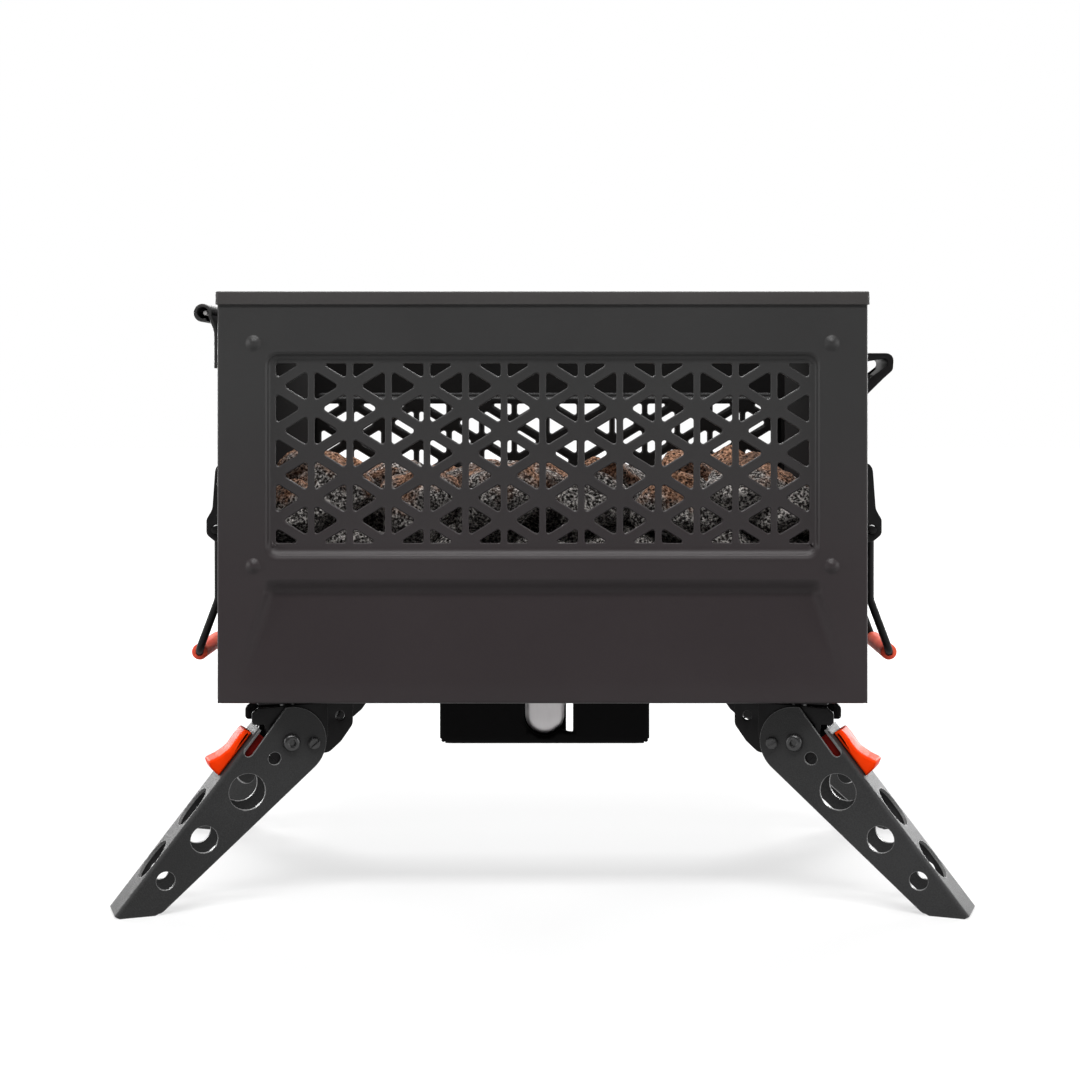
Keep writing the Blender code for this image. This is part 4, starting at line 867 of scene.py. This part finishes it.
def leg_shape():
    """The blank with its holes, a ring of points just inside each edge, bend lines and an even scatter, filled
    and folded. The small faces keep the flats flat and the painted edge highlight narrow."""
    edge = half_blank()
    outline = dense(np.concatenate([edge, (edge * (1, -1))[::-1]]), 0.0025)
    holes = [slot_loop(0.0487, 0.0733, 0.0098), slot_loop(0.0843, 0.1085, 0.0098),
             slot_loop(0.0157, 0.0344, 0.0039)]
    for x, z, radius in ((0.0251, -0.0262, 0.0103), (0.0491, -0.0510, 0.0076), (0.0703, -0.0722, 0.0052),
                         (0.0096, -0.0085, 0.0036), (0, 0, 0.0030), (pin_x, pin_z, 0.0023)):
        along, across = unfolded(x * leg_cos + z * leg_sin, z * leg_cos - x * leg_sin)
        holes += [circle(along, across, radius), circle(along, -across, radius)]
    loops = [outline] + [dense(hole, 0.003) for hole in holes]
    rings = [inset_loop(loop, 0.0006, i == 0) for i, loop in enumerate(loops)]
    bends = np.concatenate([np.linspace(web_half, plate_start, 6), [web_half - 0.0006, plate_start + 0.0006]])
    along = np.arange(-0.021, 0.134, 0.0032)
    across = np.concatenate([np.arange(0, web_half - 0.002, 0.0032), bends,
                             np.arange(plate_start + 0.0038, 0.048, 0.0032)])
    across = np.concatenate([across, -across[across > 0]])
    grid = np.stack(np.meshgrid(along, across), -1).reshape(-1, 2)
    clear = inside(grid, [inset_loop(loop, 0.0011, i == 0) for i, loop in enumerate(loops)])
    rings = np.concatenate(rings)
    points, faces = fill(loops, [rings[inside(rings, loops)], grid[clear]])
    faces = without_slivers(points, faces)
    edge_points = np.concatenate(loops)
    near = np.abs(points[:, None] - edge_points[None]).max(2).min(1) < 1e-7
    return folded(points), faces, near


leg_points, leg_faces, leg_rims = leg_shape()


def sand_coat(name, dark, light, edge_highlight):
    """Sand-textured powder coat, with a painted highlight along the edges where the rim attribute is high,
    where the paint is also smoother, and darker towards the head as a painted shadow of the can close above."""
    finish = Finish(name, 0.5, specular=0.4)
    rim = finish.own_value("rim")
    grain = finish.noise(1300.0, 2.0, 0.7)
    cloud = finish.noise(14.0, 3.0)
    height = finish.along(2)
    base = finish.colours((cloud * 0.5 + grain * 0.5).step(0.35, 0.65), dark, light)
    # Painted shadow of the can: darker towards the head.
    base = finish.colours((height + cloud * 0.03).step(0.072, 0.125), base, (0.0060, 0.0058, 0.0059))
    # Painted highlight along the edges, where the rim attribute is high.
    painted_edge_highlight = rim.step(0.35, 1.0) * (grain.step(0.3, 0.6) * 0.5 + 0.5)
    return finish.paint(Base_Color=finish.colours(painted_edge_highlight, base, edge_highlight), Roughness=0.56 - 0.2 * painted_edge_highlight,
                        Normal=finish.bump(grain, 0.55, 0.0003))


leg_coat = sand_coat("leg_coat", (0.0085, 0.0085, 0.0087), (0.024, 0.024, 0.0247), (0.20, 0.20, 0.20))
for corner in corners_of_can:
    made = piece(f"{corner}_leg", moved(leg_points, leg_place(corner)), leg_faces, leg_coat, f"leg_{corner}",
                 "leg_paint", mend=False, sharp=None)
    face(made, (0, 0, 1), lambda polygon: abs(polygon.normal.z) > 0.5)
    give_values(made, "rim", leg_rims)
    thicken(made, leg_thick)
    edges = made.modifiers.new("edges", "BEVEL")
    edges.width = 0.00035
    edges.segments = 2
    edges.limit_method = "ANGLE"
    edges.angle_limit = math.radians(50)
    edges.harden_normals = True
    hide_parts(f"leg_{corner}")


# Leg brackets.
# A U-shaped bracket of black steel under each corner of the can, with a curved slot for the stop pin. The cheek
# that faces the can's middle is longer and has a spare hole.
def cheek_loops(long):
    """A cheek about the pivot: its outline, the pivot hole, the stop pin's curved slot and the spare hole."""
    top = 0.0237
    if long:
        inner = [(-0.041, top), (-0.041, 0.004), (-0.034, -0.0055), (-0.0267, -0.0117), (-0.0150, -0.0117)]
        rounds = [0.0004, 0.006, 0.008, 0.006, 0.002]
    else:
        inner = [(-0.0215, top), (-0.0215, 0.002), (-0.0185, -0.005)]
        rounds = [0.0004, 0.005, 0.004]
    angle = np.radians(np.linspace(228 if long else 215, 362, 22))
    disc = 0.0135 * on_circle(angle)
    lug = [(0.0146, 0.0106), (0.0220, 0.0106), (0.0220, 0.0180), (0.0185, 0.0200), (0.0185, top)]
    ends = np.concatenate([rounded(inner + [tuple(disc[0])], rounds + [0.0001])[:-5], disc,
                           rounded([tuple(disc[-1])] + lug, [0.0001, 0.001, 0.002, 0.003, 0.001, 0.0004])[5:]])
    reach, slot_half = math.hypot(pin_x, pin_z), 0.0023
    first, last = math.radians(184.9 - 138), math.radians(187.9)
    sweep = np.linspace(first, last, 30)
    tip = np.linspace(0, math.pi, 8)[1:-1]
    slot = np.concatenate([(reach + slot_half) * on_circle(sweep),
                           reach * on_circle(last) + slot_half * on_circle(last + tip),
                           (reach - slot_half) * on_circle(sweep[::-1]),
                           reach * on_circle(first) + slot_half * on_circle(first + math.pi + tip)])
    loops = [ends, circle(0, 0, 0.0030, 24), slot]
    if long:
        loops.append(circle(-0.0333, 0.0096, 0.0028, 24))
    return loops


web_edge = rounded([(-0.041, -0.0111), (0.0185, -0.0111), (0.0185, 0.0111), (-0.041, 0.0111)], 0.0006)
for corner, (_, _, _, inner_side) in corners_of_can.items():
    place = leg_place(corner)
    web_place = place @ Matrix.Translation((0, 0, 0.0227))
    parts = [plate([web_edge, circle(0, 0, 0.0028, 20)], 0.002, 0.0004, web_place)]
    for long, side in ((True, inner_side), (False, -inner_side)):
        parts.append(plate(cheek_loops(long), 0.0018, 0.0004, place @ upright(0, side * 0.0103, 0)))
    made = piece(f"{corner}_bracket", *gather(parts), black_steel, "can", "black_steel")
    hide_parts(f"leg_bracket_{corner}")


# Pivot screws, stop pins and bracket bolts.
# Black machine screws: the pivot has a hexagon socket, the stop pin a plain slot, and the bolts are pan heads.
def screw(profile, hexed, place, steps=36):
    """A lathed screw; its first rows follow a hexagon, whose radius at an angle is that of its flat over the
    cosine of the angle from the flat's middle."""
    points, faces = lathe(profile, steps, (0, 0, 0), (0, 0, 1), (1, 0, 0))
    angle = np.arange(steps) * 2 * math.pi / steps
    flat = 1 / np.cos(np.mod(angle, math.pi / 3) - math.pi / 6)
    rows = points.reshape(len(profile), steps, 3)
    rows[:hexed, :, :2] *= flat[None, :, None]
    return moved(rows.reshape(-1, 3), place), faces


screw_black = powder_coat("screw_black", (0.010, 0.0098, 0.010), (0.022, 0.0215, 0.022), 0.3, 1800.0, 0.12,
                          0.6)
end = 0.0138
rear_end = [(0.0037, -end), (0.0035, -end - 0.0013), (0.0028, -end - 0.0016), (0, -end - 0.0016)]
pivot_profile = [(0, 0.0006), (0.0017, 0.0006), (0.0019, 0.0023), (0.0026, 0.0026), (0.0034, 0.0025),
                 (0.0044, 0.0019), (0.0049, 0.0010), (0.0050, 0.0003), (0.0050, 0), (0.0027, 0)]
pivot_profile = [(r, end + h) for r, h in pivot_profile] + [(0.0027, -end)] + rear_end
pin_profile = [(0, end + 0.0010), (0.0029, end + 0.0010), (0.0033, end + 0.0007), (0.0034, end),
               (0.0020, end), (0.0020, -end)] + [(r * 0.8, h) for r, h in rear_end]
half_disc = 0.0031 * on_circle(np.linspace(0.16, math.pi - 0.16, 16))
bolt_profile = dome(0.0045, 0.0027, 0.0010) + [(0.0045, 0.0003), (0.0025, 0.0003), (0.0025, -0.0041),
                                               (0.0044, -0.0041), (0.0044, -0.0064), (0, -0.0064)]
for corner, (x, y, _, inner_side) in corners_of_can.items():
    spin = Matrix.Rotation(inner_side * math.pi / 2, 4, "X")
    pivot = screw(pivot_profile, 3, leg_place(corner) @ spin)
    made = piece(f"{corner}_pivot_screw", *pivot, screw_black, "can", "black_steel")
    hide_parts(f"leg_pivot_{corner}")
    place = leg_place(corner) @ Matrix.Translation((pin_x, 0, pin_z)) @ spin
    slotted = place @ Matrix.Rotation(0.7, 4, "Z") @ Matrix.Translation((0, 0, end + 0.0014))
    parts = [screw(pin_profile, 0, place)]
    parts += [plate([half_disc * side], 0.0012, 0.0003, slotted) for side in (1, -1)]
    made = piece(f"{corner}_stop_pin", *gather(parts), screw_black, f"leg_{corner}", "black_steel")
    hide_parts(f"leg_pin_{corner}")
    bolt = lathe(bolt_profile, 24, (x * pivot_x, y * pivot_y, can_floor + 0.0015), (0, 0, 1), (1, 0, 0))
    made = piece(f"{corner}_bolt", *bolt, screw_black, "can", "black_steel")
    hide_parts(f"bracket_bolt_{corner}")


# Release buttons.
# A moulded thumb wedge in orange-red on the web, dished on top, whose stem joins a slider inside the leg, of
# the same plastic painted dark red as painted shade.
def moulded(name, first, second, roughness):
    """Moulded plastic: an even colour with a faint mottle, and the finest texture in the bump."""
    finish = Finish(name, roughness, specular=0.04)
    mottle = finish.noise(120.0, 3.0)
    grain = finish.noise(2600.0, 1.0)
    return finish.paint(Base_Color=finish.colours(mottle.step(0.3, 0.7), first, second),
                        Roughness=roughness - 0.06 + 0.12 * mottle, Normal=finish.bump(grain, 0.12, 0.0002))


button_orange = moulded("button_orange", (0.94, 0.042, 0.002), (1.0, 0.056, 0.004), 0.42)
# The same orange plastic, painted dark red as painted shade inside the leg.
shaded_orange_slider = moulded("shaded_orange_slider", (0.16, 0.008, 0.006), (0.22, 0.012, 0.009), 0.45)
wedge = rounded([(0.0090, 0.0203), (0.0385, 0.0203), (0.0380, 0.0262), (0.0357, 0.0303), (0.0300, 0.0272),
                 (0.0235, 0.0250), (0.0150, 0.0253), (0.0095, 0.0250)],
                [0.0004, 0.0006, 0.003, 0.0014, 0.008, 0.012, 0.010, 0.0015], 7)
block = rounded([(0.0070, 0.0122), (0.0330, 0.0122), (0.0330, 0.0177), (0.0070, 0.0177)], 0.0008)
stem = rounded([(0.0160, 0.0160), (0.0280, 0.0160), (0.0280, 0.0215), (0.0160, 0.0215)], 0.0002)
leg_axes = Matrix(((leg_cos, -leg_sin, 0, 0), (0, 0, -1, 0), (leg_sin, leg_cos, 0, 0), (0, 0, 0, 1)))
for corner in corners_of_can:
    place = leg_place(corner) @ leg_axes
    made = piece(f"{corner}_button", *plate([wedge], 0.0158, 0.0013, place, 5), button_orange,
                 f"button_{corner}", "orange_plastic")
    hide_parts(f"leg_button_{corner}")
    inner = gather([plate([block], 0.0168, 0.0006, place), plate([stem], 0.0072, 0.0002, place)])
    piece(f"{corner}_slider", *inner, shaded_orange_slider, f"button_{corner}", "orange_plastic")


# Button springs.
# A small coil of steel wire behind each slider, inside the leg, which pushes it back up.
coil_start, coil_long, coil_level, coil_radius, coil_turns = 0.0272, 0.0188, 0.01495, 0.00125, 8
t = np.linspace(0, 1, 150)
coil = coil_radius * on_circle(t * coil_turns * 2 * math.pi) + (coil_level, 0)
coil = np.concatenate([(coil_start + coil_long * t)[:, None], coil], 1)
for corner in corners_of_can:
    place = leg_place(corner) @ leg_axes
    direction = np.array(place)[:3, 0]
    made = piece(f"{corner}_spring", *wire(moved(coil, place), 0.0003, 6, direction), bright_steel,
                 f"leg_{corner}", "bright_steel")
    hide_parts(f"leg_spring_{corner}")
    seat = moved(np.array([coil_start + coil_long, coil_level, 0]), place)
    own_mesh(made)


# Burner shield.
# A box of black steel folded down round the mixing tube: one blank with four bends, notched in front for the
# tube and behind for the inlet, with small reliefs cut at the lower bends' ends.
shield_deep, shield_drop, shield_wide, shield_bend = 0.0135, 0.039, 0.0635, 0.0022
shield_thick, tube_drop = 0.0014, 0.0216
quarter = shield_bend * math.pi / 2
wall_start = shield_deep - shield_bend + quarter
wall_end = wall_start + shield_drop - 2 * shield_bend - 0.0018
blank_end = wall_end + quarter + 0.0070 - shield_bend


def folded_shield(blank):
    """The blank's points bent up from the bottom's middle: flat, a quarter circle up, flat, a quarter circle
    outwards, and flat again."""
    far = np.abs(blank[:, 1])
    lower = np.clip((far - wall_start + quarter) / quarter, 0, 1) * math.pi / 2
    upper = np.clip((far - wall_end) / quarter, 0, 1) * math.pi / 2
    y = np.minimum(far, wall_start - quarter) + shield_bend * (np.sin(lower) + 1 - np.cos(upper))
    y += np.maximum(far - wall_end - quarter, 0)
    z = shield_bend * (1 - np.cos(lower) + np.sin(upper)) + np.clip(far - wall_start, 0, wall_end - wall_start)
    return np.stack([blank[:, 0], y * np.sign(blank[:, 1]), can_floor - shield_drop + z], 1)


def on_shield_wall(loop):
    """A loop drawn in x and height on a shield's wall, as its place on the blank."""
    return np.stack([loop[:, 0], loop[:, 1] + shield_drop - shield_bend + wall_start], 1)


relief = 0.0011 * on_circle(np.linspace(-2.6, 0.6, 9)) + (shield_wide - 0.0021, wall_start)
edge = np.concatenate([[(shield_wide - 0.0032, 0), (shield_wide - 0.0032, wall_start - 0.0012)], relief,
                       [(shield_wide, wall_start + 0.0016), (shield_wide, wall_end - 0.003),
                        (shield_wide - 0.002, blank_end)]])
half_outline = np.concatenate([edge, edge[::-1] * (-1, 1)])
outline = dense(np.concatenate([half_outline, half_outline[-2:0:-1] * (1, -1)]), 0.003)
step_down = rounded([(0.0112, -0.0318), (0.0172, -0.0318), (0.0172, -0.0035), (-0.0124, -0.0035)], 0.001)[5:]
notch = 0.0124 * on_circle(np.radians(np.linspace(180, 318, 20))) - (0, tube_drop)
notch = np.concatenate([notch, step_down])
window = rounded([(0.0130, -0.0362), (0.0180, -0.0362), (0.0180, -0.0035), (0.0130, -0.0035)], 0.001)
loops = [outline, dense(on_shield_wall(notch) * (1, -1), 0.003), dense(on_shield_wall(window), 0.003),
         on_shield_wall(circle(0, -tube_drop, 0.0043, 24))]
lines = np.concatenate([np.linspace(wall_start - quarter, wall_start, 5),
                        np.linspace(wall_end, wall_end + quarter, 5),
                        np.arange(wall_start + 0.003, wall_end - 0.001, 0.004),
                        np.arange(0.003, wall_start - quarter, 0.004)])
grid = np.meshgrid(np.arange(-0.060, 0.061, 0.004), np.concatenate([-lines, lines]))
grid = np.stack(grid, -1).reshape(-1, 2)
clear = inside(grid, [inset_loop(loop, 0.0006, i == 0) for i, loop in enumerate(loops)])
blank, faces = fill(loops, [grid[clear]])
faces = without_slivers(blank, faces)
# Darker than the other black steel: the extra darkness is painted shade under the can.
shaded_shield_black = powder_coat("shaded_shield_black", (0.0010, 0.0009, 0.0010), (0.0028, 0.0025, 0.0027), 0.5, 1500.0,
                           0.22, 0.06)
shield = piece("folded_shield", folded_shield(blank), faces, shaded_shield_black, "can", "black_steel", mend=False,
               sharp=None)
face(shield, (0, 0, -1), lambda polygon: polygon.center.z < can_floor - shield_drop + 0.001)
thicken(shield, shield_thick)
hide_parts("burner_shield")


# Mixing tube, gas inlet and burner.
# The mixing tube is bare steel with a spun end; the brass inlet screws in behind. The burner bar above lies in
# the rocks, held to the can's floor by a nut.
dull_steel = bare_metal("dull_steel", (0.60, 0.58, 0.585), 0.5, (6.0, 6.0, 1.0))
tube_radius, tube_back, tube_top = 0.0120, -0.0113, can_floor - 0.0006
tube_centre = can_floor - tube_drop
section = tube_radius * on_circle(-np.linspace(0, math.pi, 25))
section = np.concatenate([[(tube_radius, tube_top - tube_centre)], section,
                          [(-tube_radius, tube_top - tube_centre)]])
inset = np.array([0.0113, 0.0095, 0.0062, 0.0034, 0.0018, 0.0008, 0.0002, 0, 0])
depth = np.array([0.0, 0.0, 0.0001, 0.0004, 0.0009, 0.0016, 0.0026, 0.0036, 0.0226])[:, None]
rings = section[None] * (1 - inset / tube_radius)[:, None, None]
rings[:, :, 1] = np.where(section[None, :, 1] > 0, section[None, :, 1], rings[:, :, 1])
points = np.stack([rings[..., 0], tube_back + depth + 0 * rings[..., 0], tube_centre + rings[..., 1]], -1)
rows, columns = rings.shape[:2]
front_end, back_end = list(range(columns)), list(range(rows * columns - 1, (rows - 1) * columns - 1, -1))
faces = weave(rows, columns, close_columns=True).tolist() + [front_end, back_end]
tube = piece("mixing_elbow", points, faces, dull_steel, "can", "bright_steel")
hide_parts("venturi_tube")

brass = bare_metal("brass", (0.62, 0.44, 0.17), 0.28, (1.0, 18.0, 1.0))
profile = [(0, 0.0220), (0.0030, 0.0220), (0.0030, 0.0275), (0.0044, 0.0275), (0.0051, 0.0268),
           (0.0051, 0.0178), (0.0066, 0.0175), (0.0068, 0.0172), (0.0068, 0.0142), (0.0066, 0.0139),
           (0.0040, 0.0138), (0.0040, 0.0055), (0.0022, 0.0035), (0, 0.0035)]
inlet = lathe(profile, 36, (0, 0, tube_centre), (0, 1, 0), (1, 0, 0))
inlet = piece("gas_fitting", *inlet, brass, "can", "brass")
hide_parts("gas_inlet")
paint_node("burner_tube", bright_steel)
paint_node("burner_nut", bright_steel)


# Lava rocks.
# Loose lumps of porous lava over the burner, each broken to flat faces and then worn, grey with rust in places.
def lava(name):
    """Porous rock: pits from two scales of cells, grey low in the heap and rustier at its top, and darker in
    the pits as painted shade."""
    finish = Finish(name, 0.92, specular=0.15)
    height = finish.along(2)
    broad = finish.noise(34.0, 4.0, 0.6)
    fine = finish.noise(420.0, 4.0, 0.7)
    pits = finish.node("ShaderNodeTexVoronoi", {}, {"Vector": finish.place, "Scale": 330.0})
    small = finish.node("ShaderNodeTexVoronoi", {}, {"Vector": finish.place, "Scale": 900.0})
    open_pit = pits.step(0.12, 0.42)
    salt = finish.noise(640.0, 2.0, 0.65)
    grey = finish.colours((fine * 0.3 + salt * 0.7).step(0.43, 0.64), (0.024, 0.021, 0.020), (0.72, 0.68, 0.65))
    rust = finish.colours((fine * 0.4 + salt * 0.6).step(0.40, 0.64), (0.070, 0.027, 0.013), (0.58, 0.32, 0.20))
    tone = finish.colours((broad * 1.4 + (height - 0.240) * 14.0).step(0.55, 0.85), grey, rust)
    # Painted shade in the pits.
    shade = finish.colours(open_pit * (0.4 + 0.6 * small.step(0.1, 0.4)), (0.018, 0.015, 0.014), tone)
    relief = open_pit * 0.7 + small.step(0.2, 0.6) * 0.3 + fine * 0.3
    return finish.paint(Base_Color=shade, Roughness=0.85 + 0.1 * fine, Normal=finish.bump(relief, 0.9, 0.0012))


lava_rock = lava("lava_rock")


def rock(random, centre, half, rows, columns):
    """A broken lump: in each direction, the soft minimum of the distances to fourteen planes spread over a
    sphere and jittered, with four octaves of sine waves for the rough skin, scaled to fill its half sizes."""
    theta = np.linspace(0, math.pi, rows)[:, None]
    phi = (np.arange(columns) * 2 * math.pi / columns)[None]
    way = np.stack([np.sin(theta) * np.cos(phi), np.sin(theta) * np.sin(phi), np.cos(theta) + 0 * phi], -1)
    k = np.arange(14) + 0.5
    level, spin = 1 - 2 * k / 14, k * 2.39996
    flat = np.sqrt(1 - level ** 2)
    planes = np.stack([flat * np.cos(spin), flat * np.sin(spin), level], 1)
    planes += random.normal(size=(14, 3)) * 0.22
    planes /= np.linalg.norm(planes, axis=1, keepdims=True)
    reach = random.uniform(0.80, 1.0, 14) / np.maximum(way @ planes.T, 0.2)
    radius = -np.log(np.exp(-12 * np.minimum(reach, 2)).sum(-1)) / 12
    for octave in range(4):
        waves = random.normal(size=(6, 3)) * 3.0 * 2.0 ** octave
        skin = np.sin(way @ waves.T + random.uniform(0, 6.28, 6)).sum(-1)
        radius = radius + 0.028 * 0.66 ** octave * skin / 2
    points = way * radius[..., None]
    points = np.array(centre) + points / np.abs(points).max((0, 1)) * np.array(half)
    return points.reshape(-1, 3), weave(rows, columns, close_columns=True)


bed_half = (can_half_x - 0.012, can_half_y - 0.0115)
lump_half_x, lump_half_y, lump_gap_x, lump_gap_y = 0.027, 0.024, 0.0475, 0.043
random = np.random.default_rng(11)
lumps = []
for layer, (level, tall) in enumerate(((0.079, 0.0165), (0.111, 0.022))):
    for j in range(4):
        odd = (j + layer) % 2
        for i in range(7 + odd):
            wave = 1.7 * i + 2.9 * j + 4.1 * layer
            half = np.array([lump_half_x, lump_half_y, tall]) * (1 + 0.12 * math.sin(wave))
            x = (i - 3 - 0.5 * odd) * lump_gap_x + 0.005 * math.sin(3.1 * wave)
            y = (j - 1.5) * lump_gap_y + 0.004 * math.sin(2.3 * wave + 1)
            z = level + 0.006 * layer * math.sin(5.3 * wave + 2)
            x, y = (float(np.clip(v, h - b, b - h)) for v, b, h in zip((x, y), bed_half, half))
            detail = (32, 48) if layer else (22, 32)
            lumps.append(rock(random, (x, y, can_floor + z), half, *detail))
rocks = piece("lava_rocks", *gather(lumps), lava_rock, "can", "lava_rock", sharp=None)
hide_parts("lava_rock_bed")


# Floor, backdrop and lamps.
# A white paper floor in a small studio: a wide lamp above, two tall ones at the sides, two behind and a soft
# one in front.
def white_paper():
    """White to the camera and in reflections, yet darker in the object's shadow, and plain grey to bounces."""
    finish = Finish("white_paper", 0.9, specular=0.0)
    camera_ray, glossy_ray, through_ray = (finish.node("ShaderNodeLightPath", {}, {}, f"Is {kind} Ray")
                                           for kind in ("Camera", "Glossy", "Transmission"))
    away = finish.node("ShaderNodeVectorMath", {"operation": "LENGTH"}, {0: finish.place}, 1)
    glow = (camera_ray + glossy_ray + through_ray) * (0.63 + 0.37 * away.step(0.35, 1.2))
    return finish.paint(Base_Color=(0.30, 0.30, 0.30), Emission_Strength=1.0,
                        Emission_Color=finish.colours(glow, (0.0, 0.0, 0.0), (1.0, 1.0, 1.0)))


floor_mesh = bpy.data.meshes.new("floor")
floor_mesh.from_pydata([(-8, -8, 0), (8, -8, 0), (8, 8, 0), (-8, 8, 0)], [], [(0, 1, 2, 3)])
floor_mesh.materials.append(white_paper())
floor = bpy.data.objects.new("floor", floor_mesh)
bpy.context.scene.collection.objects.link(floor)

world = bpy.data.worlds.new("studio")
bpy.context.scene.world = world
world.use_nodes = True
sky = world.node_tree
rays = sky.nodes.new("ShaderNodeLightPath")
add = sky.nodes.new("ShaderNodeMath")
sky.links.new(rays.outputs["Is Camera Ray"], add.inputs[0])
sky.links.new(rays.outputs["Is Transmission Ray"], add.inputs[1])
way = sky.nodes.new("ShaderNodeTexCoord")
split = sky.nodes.new("ShaderNodeSeparateXYZ")
sky.links.new(way.outputs["Generated"], split.inputs[0])
front = sky.nodes.new("ShaderNodeMapRange")
sky.links.new(split.outputs["Y"], front.inputs["Value"])
for key, value in (("From Min", -0.8), ("From Max", 0.3), ("To Min", 0.05), ("To Max", 1.0)):
    front.inputs[key].default_value = value
soft = sky.nodes.new("ShaderNodeMix")
sky.links.new(rays.outputs["Is Glossy Ray"], soft.inputs[0])
soft.inputs[2].default_value = 0.3
sky.links.new(front.outputs[0], soft.inputs[3])
level = sky.nodes.new("ShaderNodeMix")
sky.links.new(add.outputs[0], level.inputs[0])
sky.links.new(soft.outputs[0], level.inputs[2])
level.inputs[3].default_value = 1.0
sky.nodes["Background"].inputs["Color"].default_value = (1, 1, 1, 1)
sky.links.new(level.outputs[0], sky.nodes["Background"].inputs["Strength"])


def lamp(name, place, aim, size, power):
    """A flat lamp of a width and a height, aimed at a point, that the camera doesn't see."""
    data = bpy.data.lights.new(name, "AREA")
    data.shape = "RECTANGLE"
    data.size, data.size_y = size
    data.energy = power
    made = bpy.data.objects.new(name, data)
    made.location = place
    made.rotation_euler = (Vector(aim) - Vector(place)).to_track_quat("-Z", "Y").to_euler()
    made.visible_camera = False
    bpy.context.scene.collection.objects.link(made)


lamp("top_lamp", (0, 1.4, 1.7), (0, -0.1, 0), (1.2, 0.6), 34)
lamp("left_lamp", (-1.5, -0.45, 0.5), (0, 0, 0.2), (0.3, 0.9), 6)
lamp("right_lamp", (1.5, -0.45, 0.5), (0, 0, 0.2), (0.3, 0.9), 6)
lamp("rear_left_lamp", (-1.3, 1.7, 0.6), (0, 0, 0.1), (0.5, 0.9), 18)
lamp("rear_right_lamp", (1.3, 1.7, 0.6), (0, 0, 0.1), (0.5, 0.9), 26)
lamp("front_lamp", (0.0, -1.0, 1.8), (0, 0, 0.2), (1.6, 0.4), 38)
bpy.context.scene.view_settings.view_transform = "Standard"
